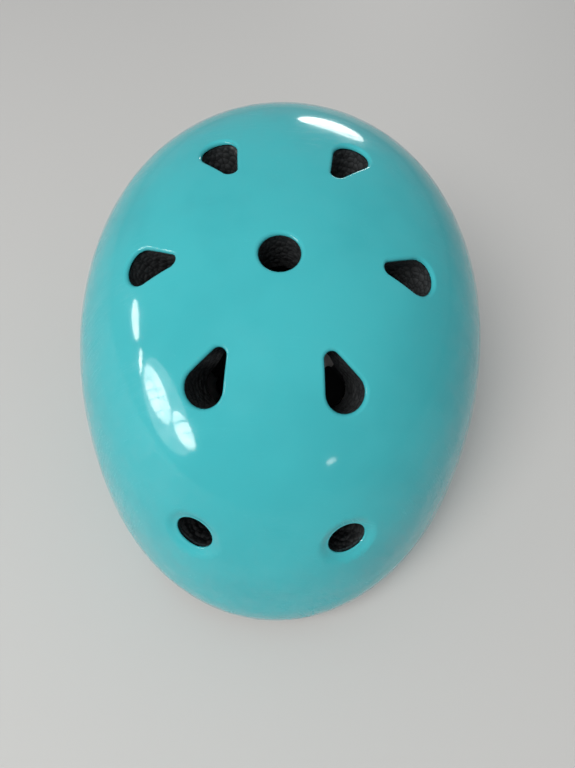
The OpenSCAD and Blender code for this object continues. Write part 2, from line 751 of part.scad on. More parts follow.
// A prong bends inward at its root; its shoulder clicks into the socket's window
shoulder = 2;
shoulder_from = 0.8;
shoulder_long = 3.2;
nose_long = 2;
module prong(side) {
  x = prong_root[0];
  tip = -buckle_length + 1;
  click = -window_from - shoulder_from;
  color(plastic_black) mirror([1, 0, 0])
    translate([buckle_bar[0], buckle_bar[1], bar_height - plug_h / 2]) sided(side) {
      translate(prong_root) cylinder(h = plug_h, r = root_r, $fn = 32);
      linear_extrude(plug_h) polygon([
        [x - prong_width / 2, prong_root[1]], [x + prong_width / 2, prong_root[1]],
        [x + prong_width / 2, click + 0.4], [plug_w / 2 + shoulder, click],
        [plug_w / 2 + shoulder, click - shoulder_long], [plug_w / 2, -window_from - window_long + 0.4],
        [x + prong_width / 2, tip + nose_long], [x - 0.4, tip], [x - prong_width / 2, tip + nose_long / 2]
      ]);
    }
}
module buckle_prong_inner() { prong(-1); }
module buckle_prong_outer() { prong(1); }

// Dial fit system. The dial's axis runs along Y at the nape, and the racks keep
// their distance from the liner's face at the ends that the band arms clip to
clip_gap = 0.6;
clip_long = 4.4;
clip_from = housing_width / 2 + rack_travel + clip_gap;
rack_out = clip_from + clip_long;
function wall_bearing(x, z, off, low = 20, high = 90, turns = 24) = let (mid = (low + high) / 2)
  turns == 0 ? mid : wall_point(mid, z, off)[0] > x
    ? wall_bearing(x, z, off, mid, high, turns - 1)
    : wall_bearing(x, z, off, low, mid, turns - 1);
rack_end = wall_point(wall_bearing(rack_out, dial_height, inner_off), dial_height, inner_off);
rack_back = rack_end[1] - rack_room;
pitch_r = pinion_teeth * tooth_module / 2;
addendum = 0.7 * tooth_module;
dedendum = 1.1 * tooth_module;
tooth_angle = 20;
rack_back_h = 3;
rack_root = pitch_r + dedendum;
rack_far = rack_root + rack_back_h;
floor_y = rack_back - rack_thick / 2 - rack_play;
front_y = floor_y - housing_wall;
roof_y = rack_back + rack_thick / 2 + rack_play;
cover_back = roof_y + housing_wall;
knob_gap = 0.4;
knob_front = cover_back + knob_gap;
knob_back = knob_front + knob_depth;
module at_dial(y) { translate([0, y, dial_height]) rotate([-90, 0, 0]) children(); }
cavity_half = rack_far + rack_play;
screw_in = 5;
screw_at = [housing_width / 2 - screw_in, (cavity_half + housing_height / 2) / 2];
screw_sink = 1;
screw_r = 1;
housing_corner = 5;
screw_head_r = 1.9;
module screw_spots() {
  for (sx = [-1, 1]) for (sz = [-1, 1]) translate([sx * screw_at[0], sz * screw_at[1], 0]) children();
}
hanger_in = 6;
hanger_rise = 15;
hanger_low = [housing_width / 2 - hanger_in, housing_height / 2 - 5];
hanger_bend = [hanger_low[0] + 2, hanger_low[1] + hanger_rise];
hanger_bearing = 70;
hanger_height = 66;
hanger_gap = 0.8;
pin_r = 3;
pin_depth = 10;
hanger_r = 5;
hanger_thick = 2.2;
// Frame on the liner's inner face with +Z into the liner
module wall_frame(a, z, off) {
  p = wall_point(a, z, off);
  stand_at(p, -inward(a, waist_scale(z), z), [0, 0, 1]) children();
}
module hanger_frame(side) {
  wall_frame(90 - side * (90 - hanger_bearing), hanger_height, inner_off + hanger_gap) children();
}
module hanger_spot(side, at) {
  at_dial(front_y) translate([side * at[0], -at[1], 0])
    cylinder(h = housing_wall, r = hanger_r - 1, $fn = 32);
}
module dial_housing() {
  slot = rack_back_h + addendum + dedendum + 2 * rack_play;
  color(plastic_black) {
    difference() {
      at_dial(front_y) linear_extrude(roof_y - front_y) round_rect(housing_width, housing_height, housing_corner);
      at_dial(floor_y) linear_extrude(rack_thick + 2 * rack_play + 1)
        round_rect(housing_width - 2 * housing_wall, 2 * cavity_half, 1);
      for (side = [1, -1])
        translate([
          side * (housing_width / 2 - housing_wall), rack_back, dial_height + side * (cavity_half - slot / 2)
        ]) cube([4 * housing_wall, rack_thick + 2 * rack_play, slot], center = true);
      at_dial(front_y + 0.8) cylinder(h = housing_wall * 2, r = shaft_r + shaft_play, $fn = 48);
      at_dial(floor_y - 1) screw_spots() cylinder(h = housing_width, r = screw_r + 0.05, $fn = 24);
    }
    for (side = [-1, 1]) {
      hull() {
        hanger_spot(side, hanger_low);
        hanger_spot(side, hanger_bend);
      }
      hull() {
        hanger_spot(side, hanger_bend);
        hanger_frame(side) translate([0, 0, -hanger_thick]) cylinder(h = hanger_thick, r = hanger_r, $fn = 32);
      }
      hanger_frame(side) translate([0, 0, -eps]) cylinder(h = pin_depth, r = pin_r, $fn = 32);
    }
  }
}
module dial_cover() {
  color(plastic_black) difference() {
    at_dial(roof_y) linear_extrude(housing_wall) round_rect(housing_width, housing_height, housing_corner);
    at_dial(roof_y - 1) cylinder(h = housing_wall + 2, r = shaft_r + shaft_play, $fn = 48);
    at_dial(roof_y - 1) screw_spots() cylinder(h = housing_wall + 2, r = screw_r + 0.1, $fn = 24);
    at_dial(cover_back - screw_sink) screw_spots() cylinder(h = 2, r = screw_head_r + 0.1, $fn = 24);
  }
}
module cover_screws() {
  color(steel) at_dial(cover_back - screw_sink) screw_spots() {
    difference() {
      cylinder(h = 0.9, r = screw_head_r, $fn = 24);
      translate([-1.2, -0.25, 0.5]) cube([2.4, 0.5, 1]);
      translate([-0.25, -1.2, 0.5]) cube([0.5, 2.4, 1]);
    }
    translate([0, 0, -4]) cylinder(h = 4.1, r = screw_r, $fn = 24);
  }
}

// Involute teeth, thinned by the backlash
base_r = pitch_r * cos(tooth_angle);
tip_r = pitch_r + addendum;
function roll(r) = sqrt(max(0, pow(r / base_r, 2) - 1));
function involute(r) = roll(r) * 180 / PI - atan(roll(r));
flank_steps = 4;
half_tooth = (PI * tooth_module / 2 - backlash) / 2 / pitch_r * 180 / PI + involute(pitch_r);
function flank(side) = [
  for (k = [0:flank_steps]) let (r = base_r + (tip_r - base_r) * k / flank_steps)
    [r, side * (half_tooth - involute(r))]
];
tooth = concat([[pitch_r - dedendum, -half_tooth]], flank(-1), reverse(flank(1)),
  [[pitch_r - dedendum, half_tooth]]);
module pinion_outline() {
  polygon([
    for (t = [0:pinion_teeth - 1]) let (mid = (t + 0.5) * 360 / pinion_teeth)
      for (p = tooth) p[0] * [cos(mid + p[1]), sin(mid + p[1])]
  ]);
}
module dial_pinion() {
  color(plastic_black) {
    at_dial(rack_back - rack_thick / 2) linear_extrude(rack_thick) pinion_outline();
    at_dial(floor_y - 1.2) cylinder(h = 1.2 + rack_play + eps, r = shaft_r, $fn = 48);
    at_dial(rack_back) cylinder(h = knob_back - 2 - rack_back, r = shaft_r, $fn = 48);
  }
}
// A ring spring on the cover, whose two bumps rub inside the knob
spring_r = 8;
spring_width = 2;
spring_thick = 0.3;
bump_r = 0.9;
module detent_spring() {
  color(steel) {
    at_dial(cover_back) difference() {
      cylinder(h = spring_thick, r = spring_r, $fn = 48);
      translate([0, 0, -1]) cylinder(h = spring_thick + 2, r = spring_r - spring_width, $fn = 48);
    }
    for (side = [-1, 1]) at_dial(cover_back) translate([side * (spring_r - spring_width / 2), 0, 0])
      cylinder(h = bump_r, r1 = bump_r, r2 = bump_r / 2, $fn = 24);
  }
}
knob_well = 1.2;
knob_edge = 1.2;
flute_r = 2;
flute_out = 1.1;
knob_fit = 0.02;
module dial_knob() {
  color(plastic_black) at_dial(knob_front) difference() {
    union() {
      cylinder(h = knob_depth - knob_edge, r = knob_d / 2, $fn = 72);
      translate([0, 0, knob_depth - knob_edge])
        cylinder(h = knob_edge, r1 = knob_d / 2, r2 = knob_d / 2 - knob_edge, $fn = 72);
    }
    for (k = [0:knob_flutes - 1]) rotate(k * 360 / knob_flutes)
      translate([knob_d / 2 + flute_out, 0, -1]) cylinder(h = knob_depth + 2, r = flute_r, $fn = 24);
    translate([0, 0, -1]) cylinder(h = knob_depth - 1, r = shaft_r + knob_fit, $fn = 48);
    translate([0, 0, -1]) cylinder(h = 1 + knob_well, r = spring_r + 0.8, $fn = 48);
  }
}
// A rack tongue; side 1 is the upper one, which pulls the left band arm
rack_in = -8;
teeth_from = -5;
teeth_to = 19;
module rack_outline() {
  pitch = PI * tooth_module;
  first = ceil(teeth_from / pitch);
  last = floor(teeth_to / pitch);
  half_top = (pitch / 2 - backlash) / 2 - addendum * tan(tooth_angle);
  half_root = (pitch / 2 - backlash) / 2 + dedendum * tan(tooth_angle);
  polygon(concat(
    [[rack_in, rack_root]],
    [for (k = [first:last]) each [
      [k * pitch - half_root, rack_root], [k * pitch - half_top, pitch_r - addendum],
      [k * pitch + half_top, pitch_r - addendum], [k * pitch + half_root, rack_root]
    ]],
    [[rack_out, rack_root], [rack_out, rack_far], [rack_in, rack_far]]
  ));
}
module rack(side) {
  color(plastic_black) sided(side) translate([0, rack_back + rack_thick / 2, dial_height])
    rotate([90, 0, 0]) linear_extrude(rack_thick) mirror([0, side > 0 ? 0 : 1]) {
      rack_outline();
      translate([clip_from, -band_height / 2]) square([rack_out - clip_from, band_height / 2 + rack_far]);
    }
}
module rack_left() { rack(1); }
module rack_right() { rack(-1); }

// The head band runs along the liner from the temple plug to its rack tongue
band_off = inner_off + band_gap + band_thick / 2;
band_leaves = 42;
band_step = 6;
band_end = 7;
function flat_point(p) = [p[0], p[1]];
wall_run = [
  for (a = [-temple_bearing - band_end:band_step:band_leaves - 1])
    flat_point(wall_point(a, dial_height, band_off)),
];
band_turn = flat_point(wall_point(band_leaves, dial_height, band_off));
band_heading = unit(band_turn - flat_point(wall_point(band_leaves - 1, dial_height, band_off)));
band_meet = [rack_out + seat_gap, rack_back];
band_bend = norm(band_turn - band_meet) / 3;
band_curve = [band_turn, band_turn + band_bend * band_heading, band_meet + [band_bend, 0], band_meet];
band_route = concat(wall_run, [for (k = [0:curve_steps]) curve(band_curve, k / curve_steps)]);
function route_dir(r, k) = unit(r[min(k + 1, len(r) - 1)] - r[max(k - 1, 0)]);
function route_edge(r, side, half) = [
  for (k = [0:len(r) - 1]) let (d = route_dir(r, k)) r[k] + side * half * [-d[1], d[0]]
];
module temple_frame(side) {
  a = -temple_bearing;
  wall_frame(side > 0 ? a : 180 - a, dial_height, inner_off) children();
}
plug_depth = 12;
module band_arm(side) {
  color(plastic_black) difference() {
    sided(side) translate([0, 0, dial_height - band_height / 2]) linear_extrude(band_height) polygon(concat(
      route_edge(band_route, 1, band_thick / 2), reverse(route_edge(band_route, -1, band_thick / 2))
    ));
    temple_frame(side) translate([0, 0, -3 * band_gap]) cylinder(h = 3 * band_gap, r = plug_r + 0.15, $fn = 32);
  }
}
module band_arm_left() { band_arm(1); }
module band_arm_right() { band_arm(-1); }
flange_wide = 2.5;
flange_thick = 1.5;
slack = 0.5;
module temple_plug(side) {
  flange_r = plug_r + flange_wide;
  head = band_gap + band_thick + slack + flange_thick;
  color(plastic_black) temple_frame(side) {
    translate([0, 0, -head]) cylinder(h = head + plug_depth - 1, r = plug_r, $fn = 32);
    translate([0, 0, -head]) cylinder(h = flange_thick, r = flange_r, $fn = 32);
    translate([0, 0, -band_gap + slack]) cylinder(h = band_gap - 2 * slack, r = flange_r, $fn = 32);
  }
}
module temple_plug_left() { temple_plug(1); }
module temple_plug_right() { temple_plug(-1); }

// A soft pad on the head side of the dial housing
cradle_pad_thick = 5;
function cradle_ring(r, depth) = [
  for (i = [0:pad_sides - 1]) let (t = i * 360 / pad_sides) [
    (housing_width / 2 - 1) * r * corner(cos(t)), front_y - seat_gap - depth,
    dial_height + (housing_height / 2 - 1) * r * corner(sin(t))
  ]
];
module cradle_pad() {
  color(pad_grey) ring_stack(
    [0, front_y - seat_gap, dial_height],
    concat(
      [for (r = pad_base) cradle_ring(r, 0)],
      [for (c = pad_crown) cradle_ring(c[0], cradle_pad_thick * c[1])]
    ),
    [0, front_y - seat_gap - cradle_pad_thick, dial_height]
  );
}

outer_shell();
eps_liner();
front_pad();
rear_pad();
crown_pad();
side_pad_left();
side_pad_right();
hook_dots();
strap_anchor_front_left();
strap_anchor_rear_left();
strap_anchor_front_right();
strap_anchor_rear_right();
front_strap_left();
rear_strap_left();
strap_divider_left();
chin_strap_left();
buckle_socket();
front_strap_right();
rear_strap_right();
strap_divider_right();
chin_strap_right();
strap_tail();
strap_keeper();
buckle_plug();
buckle_prong_inner();
buckle_prong_outer();
dial_housing();
dial_cover();
cover_screws();
dial_pinion();
detent_spring();
dial_knob();
rack_left();
rack_right();
band_arm_left();
band_arm_right();
temple_plug_left();
temple_plug_right();
cradle_pad();
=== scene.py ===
from functools import cached_property
from math import atan2, cos, hypot, pi, radians, sin, sqrt

import bmesh
import bpy
import numpy as np
from mathutils import Matrix, Quaternion, Vector
from mathutils.geometry import delaunay_2d_cdt


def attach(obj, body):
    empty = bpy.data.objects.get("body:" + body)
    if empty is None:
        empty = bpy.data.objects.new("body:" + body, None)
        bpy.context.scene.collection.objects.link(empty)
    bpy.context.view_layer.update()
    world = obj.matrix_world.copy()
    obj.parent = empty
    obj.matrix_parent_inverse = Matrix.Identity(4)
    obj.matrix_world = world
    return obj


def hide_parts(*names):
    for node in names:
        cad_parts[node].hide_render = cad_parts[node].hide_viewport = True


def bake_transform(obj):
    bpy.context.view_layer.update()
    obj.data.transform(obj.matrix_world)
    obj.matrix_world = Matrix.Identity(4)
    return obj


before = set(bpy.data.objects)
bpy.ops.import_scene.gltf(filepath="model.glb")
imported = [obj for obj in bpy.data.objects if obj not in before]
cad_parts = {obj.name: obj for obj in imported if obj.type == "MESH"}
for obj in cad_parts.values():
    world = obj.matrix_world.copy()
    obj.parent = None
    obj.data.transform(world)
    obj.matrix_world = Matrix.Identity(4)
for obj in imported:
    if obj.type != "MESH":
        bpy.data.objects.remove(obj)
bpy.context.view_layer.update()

SCENE = bpy.context.scene
MM = 0.001

# The helmet's driving sizes in mm, with the part's own names and values
SHELL_WIDTH, SHELL_LENGTH = 216.0, 260.0
DOME_HEIGHT, WAIST_HEIGHT = 125.5, 36.0
DOME_LEAN, REAR_FULLNESS, DOME_POWER = 0.2, 0.036, 2.42
RIM_TUCK, SHELL_WALL = 5.0, 2.8
BROW_LIFT, NAPE_LIFT = 10.0, 9.0
CROWN_VENT_D, CROWN_VENT_AHEAD = 17.0, 19.9
TEAR_WIDE_R, TEAR_TIP_R, TEAR_REACH = 8.2, 3.2, 14.0
TEAR_PLACES = [(27.6, 68.4), (57.9, 17.1), (29.4, -38.0)]
LOW_VENT_D = 17.0
LOW_PLACES = [(-1, -1, 19.2, 80.7), (1, -1, 19.2, 80.7), (-1, 1, 22.0, 74.0), (1, 1, 22.0, 74.0)]
DISH_DEPTH, DISH_MARGIN = 1.8, 5.6
LINER_WALL, LINER_GAP, LINER_RISE, LINER_VENT_EXTRA = 24.0, 0.3, 8.5, 1.0
CHANNEL_OUT, CHANNEL_DEPTH, CHANNEL_HALF = 25.0, 6.0, 9.0
CHANNEL_ENDS, CHANNEL_FADE = (-98.0, 100.0), 12.0
PAD_THICK, PAD_GAP = 7.0, 1.8
LINER_OFF = SHELL_WALL + LINER_GAP
INNER_OFF = LINER_OFF + LINER_WALL
PAD_OFF = INNER_OFF + PAD_GAP

# How finely the surfaces are drawn, and how the vents' edges are rounded, in mm
SHELL_SPACING, SHELL_INNER_SPACING, SHELL_NOSE = 2.3, 5.5, 1.2
LINER_SPACING, LINER_OUTER_SPACING, LINER_NOSE = 2.8, 6.5, 1.5
VENT_LIP, VENT_FLARE, LOW_LIP, LOW_FLARE, LINER_LIP = 1.6, 1.7, 0.6, 2.4, 1.6
SHELL_LIP_STEPS, LINER_LIP_STEPS, RIM_STEPS = 7, 4, 8


def unit(v):
    v = np.asarray(v, float)
    return v / np.maximum(np.linalg.norm(v, axis=-1, keepdims=True), 1e-12)


def ease(t):
    t = np.clip(t, 0, 1)
    return t * t * (3 - 2 * t)


def cos_sin(a):
    return np.cos(np.radians(a)), np.sin(np.radians(a))


# The dome, as the part draws it. Arrays of bearings a in degrees, scales s and heights z
def lean(z):
    below = np.minimum(z - WAIST_HEIGHT, 0)
    return DOME_LEAN * (np.maximum(z - WAIST_HEIGHT, 0) + below * (1 + below / WAIST_HEIGHT / 2))


def waist_scale(z):
    rise = np.clip((z - WAIST_HEIGHT) / DOME_HEIGHT, 0, 1)
    dome = (1 - rise ** DOME_POWER) ** (1 / DOME_POWER)
    skirt = 1 - 2 * RIM_TUCK / SHELL_WIDTH * (1 - z / WAIST_HEIGHT) ** 2
    return np.where(z >= WAIST_HEIGHT, dome, skirt)


def height_at(s):
    return WAIST_HEIGHT + DOME_HEIGHT * (1 - np.minimum(1, s) ** DOME_POWER) ** (1 / DOME_POWER)


STATIONS = np.arange(0, WAIST_HEIGHT + DOME_HEIGHT + 1)
REACH = SHELL_LENGTH / 2 * waist_scale(STATIONS)
MID_SHIFT = (max(REACH - lean(STATIONS)) - max(REACH + lean(STATIONS))) / 2


def skin(a, s, z):
    c, d = cos_sin(a)
    x = SHELL_WIDTH / 2 * s * c * (1 + REAR_FULLNESS * d)
    y = SHELL_LENGTH / 2 * s * d + lean(z) + MID_SHIFT
    return np.stack([x, y, z + 0 * x], -1)


def inward(a, s, z):
    c, d = cos_sin(a)
    high = z >= WAIST_HEIGHT
    w = np.clip((z - WAIST_HEIGHT) / DOME_HEIGHT, 0, None)
    low = np.clip(1 - z / WAIST_HEIGHT, 0, None)
    pull = np.where(high, np.maximum(s, 0.01) ** (DOME_POWER - 1), 1)
    gx, gy = pull * c / (SHELL_WIDTH / 2), pull * d / (SHELL_LENGTH / 2)
    slope = np.where(high, DOME_LEAN, DOME_LEAN * z / WAIST_HEIGHT)
    tuck = -4 * RIM_TUCK / SHELL_WIDTH * low / WAIST_HEIGHT
    rise = np.where(high, w ** (DOME_POWER - 1) / DOME_HEIGHT, tuck)
    level_height = max(BROW_LIFT, NAPE_LIFT) + 1
    gz = (rise - gy * slope) * ease((z - level_height) / WAIST_HEIGHT)
    return -unit(np.stack([gx, gy, gz], -1))


def layer_point(a, s, z, off):
    """The point off mm inside the outer surface."""
    return skin(a, s, z) + inward(a, s, z) * np.asarray(off)[..., None]


def rim(a):
    front = np.abs((a + 450) % 360 - 180)
    return BROW_LIFT * ease((front - 125) / 35) + NAPE_LIFT * ease((50 - front) / 30)


def low_bearing(place):
    side, end, bearing, _ = place
    return end * 90 - side * end * bearing


LOW_CENTRES = [skin(low_bearing(v), waist_scale(v[3]), np.float64(v[3])) for v in LOW_PLACES]


def dish(p):
    """Depth of the soft dishes round the low vents."""
    depth = np.zeros(p.shape[:-1])
    for centre in LOW_CENTRES:
        into = 1 - (np.linalg.norm(p - centre, axis=-1) - LOW_VENT_D / 2) / DISH_MARGIN
        depth += DISH_DEPTH * (1 - np.cos(pi * np.clip(into, 0, 1))) / 2
    return depth


# The dome unrolled flat: a point's distance from the middle is its way down from the crown
TURNS = np.radians(np.linspace(90, 0, 1201))
SKIRT_Z = np.linspace(WAIST_HEIGHT, -2, 200)[1:]
DOWN_S = np.concatenate([np.cos(TURNS) ** (2 / DOME_POWER), waist_scale(SKIRT_Z)])
DOWN_Z = np.concatenate([WAIST_HEIGHT + DOME_HEIGHT * np.sin(TURNS) ** (2 / DOME_POWER), SKIRT_Z])
DOWN_S[0] = 0
MEAN_R = (SHELL_WIDTH + SHELL_LENGTH) / 4
DOWN = np.concatenate([[0], np.cumsum(np.hypot(np.diff(DOWN_S) * MEAN_R, np.diff(DOWN_Z)))])
WAIST_DOWN = DOWN[len(TURNS) - 1]


def profile(down):
    """Scale and height at a distance down from the crown."""
    turn = np.interp(down, DOWN[: len(TURNS)], TURNS)
    s = np.cos(turn) ** (2 / DOME_POWER)
    z = WAIST_HEIGHT + DOME_HEIGHT * np.sin(turn) ** (2 / DOME_POWER)
    skirt_z = np.interp(down, DOWN, DOWN_Z)
    low = down > WAIST_DOWN
    return np.where(low, waist_scale(skirt_z), s), np.where(low, skirt_z, z)


def down_at(z):
    return np.interp(-z, -DOWN_Z, DOWN)


def no_groove(p):
    return 0.0


def channel_groove(p):
    """Depth of the liner's two air channels at points of the outer surface."""
    beside = np.abs(np.abs(p[..., 0]) - CHANNEL_OUT) / CHANNEL_HALF
    past, left = p[..., 1] - CHANNEL_ENDS[0], CHANNEL_ENDS[1] - p[..., 1]
    ends = ease(past / CHANNEL_FADE) * ease(left / CHANNEL_FADE)
    across = np.where(beside < 1, (1 + np.cos(pi * np.minimum(beside, 1))) / 2, 0)
    return CHANNEL_DEPTH * across * ends


def lay(flat, off, groove=no_groove, dished=True):
    """Points of the layer off mm inside the shell's outer surface, in mm."""
    flat = np.asarray(flat, float)
    a = np.degrees(np.arctan2(flat[..., 1], flat[..., 0]))
    s, z = profile(np.hypot(flat[..., 0], flat[..., 1]))
    p = skin(a, s, z)
    return layer_point(a, s, z, off + (dish(p) if dished else 0) - groove(p))


def lay_normal(flat, off, groove=no_groove):
    """Outward normals of that layer, from four neighbours of each point."""
    flat, step = np.asarray(flat, float), 0.25
    east, north = np.array([step, 0]), np.array([0, step])
    dx = lay(flat + east, off, groove) - lay(flat - east, off, groove)
    dy = lay(flat + north, off, groove) - lay(flat - north, off, groove)
    return unit(np.cross(dx, dy))


def flat_of(a, z):
    return np.stack([down_at(z) * part for part in cos_sin(a)], -1)


# Vents. Each has a frame on the outer surface and an outline drawn as the hull of its round ends
def dome_spot(x, ahead):
    """Flat place of the outer surface's point at a plan position."""
    flat = np.array([x, -ahead], float)
    for _ in range(30):
        p = lay(flat, 0, dished=False)
        flat = flat + ([x, MID_SHIFT - ahead] - p[:2])
    return flat


def round_ends(ends, count=18, straight=5):
    """Outline of a hull of circles as rows (cx, cy, r, ux, uy), anticlockwise."""
    rows = []
    for k, (x, y, r, start, stop) in enumerate(ends):
        for t in np.linspace(start, stop, count):
            rows.append((x, y, r, cos(t), sin(t)))
        nx, ny, nr = ends[(k + 1) % len(ends)][:3]
        for f in np.linspace(0, 1, straight + 2)[1:-1]:
            if hypot(nx - x, ny - y) > 1e-6:
                rows.append((x + (nx - x) * f, y + (ny - y) * f, r + (nr - r) * f, cos(stop), sin(stop)))
    return np.array(rows)


def tear_outline():
    swing = atan2(TEAR_WIDE_R - TEAR_TIP_R, sqrt(TEAR_REACH ** 2 - (TEAR_WIDE_R - TEAR_TIP_R) ** 2))
    edge = pi / 2 - swing
    return round_ends([(0, 0, TEAR_WIDE_R, edge, 2 * pi - edge), (TEAR_REACH, 0, TEAR_TIP_R, -edge, edge)])


def round_outline(d):
    return round_ends([(0, 0, d / 2, 0, 2 * pi - 2 * pi / 56)], count=56)


class Vent:
    """A vent: its middle, axes and outline, and where its outline falls on each layer."""

    def __init__(self, spot, centre, normal, toward, outline, lip=VENT_LIP, flare=VENT_FLARE):
        self.spot, self.centre, self.lip, self.flare = spot, centre, lip, flare
        self.x = unit(toward - normal * (toward @ normal))
        self.y = np.cross(normal, self.x)
        self.outline = outline

    def ring(self, grow, off, groove=no_groove):
        """Flat places where the outline, grown all round, meets a layer."""
        cx, cy, r, ux, uy = self.outline.T
        goal = np.stack([cx + (r + grow) * ux, cy + (r + grow) * uy], -1)

        def local(flat):
            q = lay(flat, off, groove) - self.centre
            return np.stack([q @ self.x, q @ self.y], -1)

        flat = np.repeat(self.spot[None], len(goal), 0)
        for _ in range(12):
            here = local(flat)
            jx = (local(flat + [0.05, 0]) - here) / 0.05
            jy = (local(flat + [0, 0.05]) - here) / 0.05
            miss = goal - here
            det = jx[:, 0] * jy[:, 1] - jy[:, 0] * jx[:, 1]
            dx = (miss[:, 0] * jy[:, 1] - miss[:, 1] * jy[:, 0]) / det
            dy = (jx[:, 0] * miss[:, 1] - jx[:, 1] * miss[:, 0]) / det
            flat = flat + np.clip(np.stack([dx, dy], -1), -6, 6)
        return flat


def find_vents():
    def at(flat):
        s, z = profile(hypot(*flat))
        return lay(flat, 0, dished=False), -inward(np.degrees(atan2(flat[1], flat[0])), s, z)

    spot = dome_spot(0, CROWN_VENT_AHEAD)
    crown, up = at(spot)
    vents = [Vent(spot, crown, up, np.array([1.0, 0, 0]), round_outline(CROWN_VENT_D))]
    for out, ahead in TEAR_PLACES:
        for side in (-1, 1):
            spot = dome_spot(side * out, ahead)
            p, n = at(spot)
            vents.append(Vent(spot, p, n, crown - p, tear_outline()))
    for place in LOW_PLACES:
        spot = flat_of(low_bearing(place), place[3])
        p, n = at(spot)
        outline = round_outline(LOW_VENT_D)
        vents.append(Vent(spot, p, n, np.array([0, 0, 1.0]), outline, LOW_LIP, LOW_FLARE))
    return vents


VENTS = find_vents()


def new_object(name, data):
    made = bpy.data.objects.new(name, data)
    SCENE.collection.objects.link(made)
    return made


def plain_piece(name, points, faces, edges=(), outward=False):
    """A piece from points in mm. Outward turns all its faces to the outside."""
    data = bpy.data.meshes.new(name)
    data.from_pydata((np.asarray(points, float) * MM).tolist(), edges, faces)
    if outward:
        work = bmesh.new()
        work.from_mesh(data)
        bmesh.ops.recalc_face_normals(work, faces=work.faces)
        work.to_mesh(data)
        work.free()
    return new_object(name, data)


def finished(piece):
    """The piece with its modifiers made part of its mesh."""
    graph = bpy.context.evaluated_depsgraph_get()
    data = bpy.data.meshes.new_from_object(piece.evaluated_get(graph))
    name = piece.name
    bpy.data.objects.remove(piece)
    return new_object(name, data)


class Patchwork:
    """Gathers patches of faces that share points. Each corner carries its own normal."""

    def __init__(self):
        self.points, self.count, self.faces, self.normals = [], 0, [], []

    def add(self, points):
        self.points.append(np.asarray(points, float))
        start, self.count = self.count, self.count + len(points)
        return np.arange(start, self.count)

    def patch(self, faces, normals):
        """Adds faces, turning each one so that it looks the way its normals point."""
        xyz = np.concatenate(self.points)
        faces, normals = np.asarray(faces), np.asarray(normals, float)
        p = xyz[faces]
        looks = np.cross(p[:, 1] - p[:, 0], p[:, 2] - p[:, 0])
        if faces.shape[1] == 4:
            looks = np.cross(p[:, 2] - p[:, 0], p[:, 3] - p[:, 1])
        wrong = np.einsum("ij,ij->i", looks, normals.mean(1)) < 0
        faces[wrong] = faces[wrong][:, ::-1]
        normals[wrong] = normals[wrong][:, ::-1]
        self.faces.extend(faces.tolist())
        self.normals.append(normals.reshape(-1, 3))

    def bridge(self, ring, other, ring_normals, other_normals):
        """Closes the band between two rings of as many points."""
        nxt = np.roll(np.arange(len(ring)), -1)
        faces = np.stack([ring, ring[nxt], other[nxt], other], 1)
        normals = np.stack([ring_normals, ring_normals[nxt], other_normals[nxt], other_normals], 1)
        self.patch(faces, normals)

    def mesh(self, name):
        piece = plain_piece(name, np.concatenate(self.points), self.faces)
        piece.data.shade_smooth()
        piece.data.normals_split_custom_set(unit(np.concatenate(self.normals)).tolist())
        return piece


def within(points, ring):
    """True for the points inside a closed ring."""
    x, y = points[:, :1], points[:, 1:]
    x1, y1 = ring.T
    x2, y2 = np.roll(ring, -1, 0).T
    crosses = (y1 > y) != (y2 > y)
    with np.errstate(divide="ignore", invalid="ignore"):
        meet = x1 + (y - y1) * (x2 - x1) / (y2 - y1)
    return (crosses & (x < meet)).sum(1) % 2 == 1


def drop_within(keep, points, ring):
    """Clears keep for the points inside a closed ring."""
    spots = np.flatnonzero(keep & ((points > ring.min(0)) & (points < ring.max(0))).all(1))
    keep[spots[within(points[spots], ring)]] = False


def fill_sheet(edge, holes, spacing, halos=()):
    """Triangles between an outer ring and the rings of its holes.

    Returns flat points, which start with the edge and then each hole, and triangles."""
    rings = [edge, *holes]
    reach = np.abs(edge).max() + spacing
    rows = np.arange(-reach, reach, spacing * sqrt(3) / 2)
    columns = np.arange(-reach, reach, spacing)
    grid = np.array([(x + (k % 2) * spacing / 2, y) for k, y in enumerate(rows) for x in columns])
    keep = within(grid, edge)
    for ring in [*rings, *halos]:
        low, high = ring.min(0) - spacing, ring.max(0) + spacing
        near = keep & ((grid > low) & (grid < high)).all(1)
        gaps = np.linalg.norm(grid[near][:, None] - ring[None], axis=2).min(1)
        keep[np.flatnonzero(near)[gaps < spacing * 0.55]] = False
    for ring in [*holes, *halos]:
        drop_within(keep, grid, ring)
    points = np.concatenate([*rings, *halos, grid[keep]])
    edges, start = [], 0
    for ring in rings:
        spots = np.arange(start, start + len(ring))
        edges += list(zip(spots.tolist(), np.roll(spots, -1).tolist()))
        start += len(ring)
    made = delaunay_2d_cdt([Vector(p) for p in points.tolist()], edges, [], 0, 1e-5)
    triangles = np.array(made[2])
    assert len(made[0]) == len(points), "rings of the sheet touch each other"
    middle = points[triangles].mean(1)
    inside = within(middle, edge)
    for hole in holes:
        drop_within(inside, middle, hole)
    return points, triangles[inside]


def add_layer(work, off, edge, holes, spacing, outward=1, groove=no_groove, halos=()):
    """Lays one layer of a dome. Returns the places of the edge ring and of each hole's ring."""
    flat, triangles = fill_sheet(edge, holes, spacing, halos)
    spots = work.add(lay(flat, off, groove))
    normals = outward * lay_normal(flat, off, groove)
    work.patch(spots[triangles], normals[triangles])
    rings, start = [], 0
    for ring in [edge, *holes]:
        part = slice(start, start + len(ring))
        rings.append((spots[part], normals[part]))
        start += len(ring)
    return rings[0], rings[1:]


def level_ring(lift, count=360):
    """Flat ring that lies lift mm above the shell's rim."""
    a = np.arange(count) * 360 / count
    return flat_of(a, rim(a) + lift)


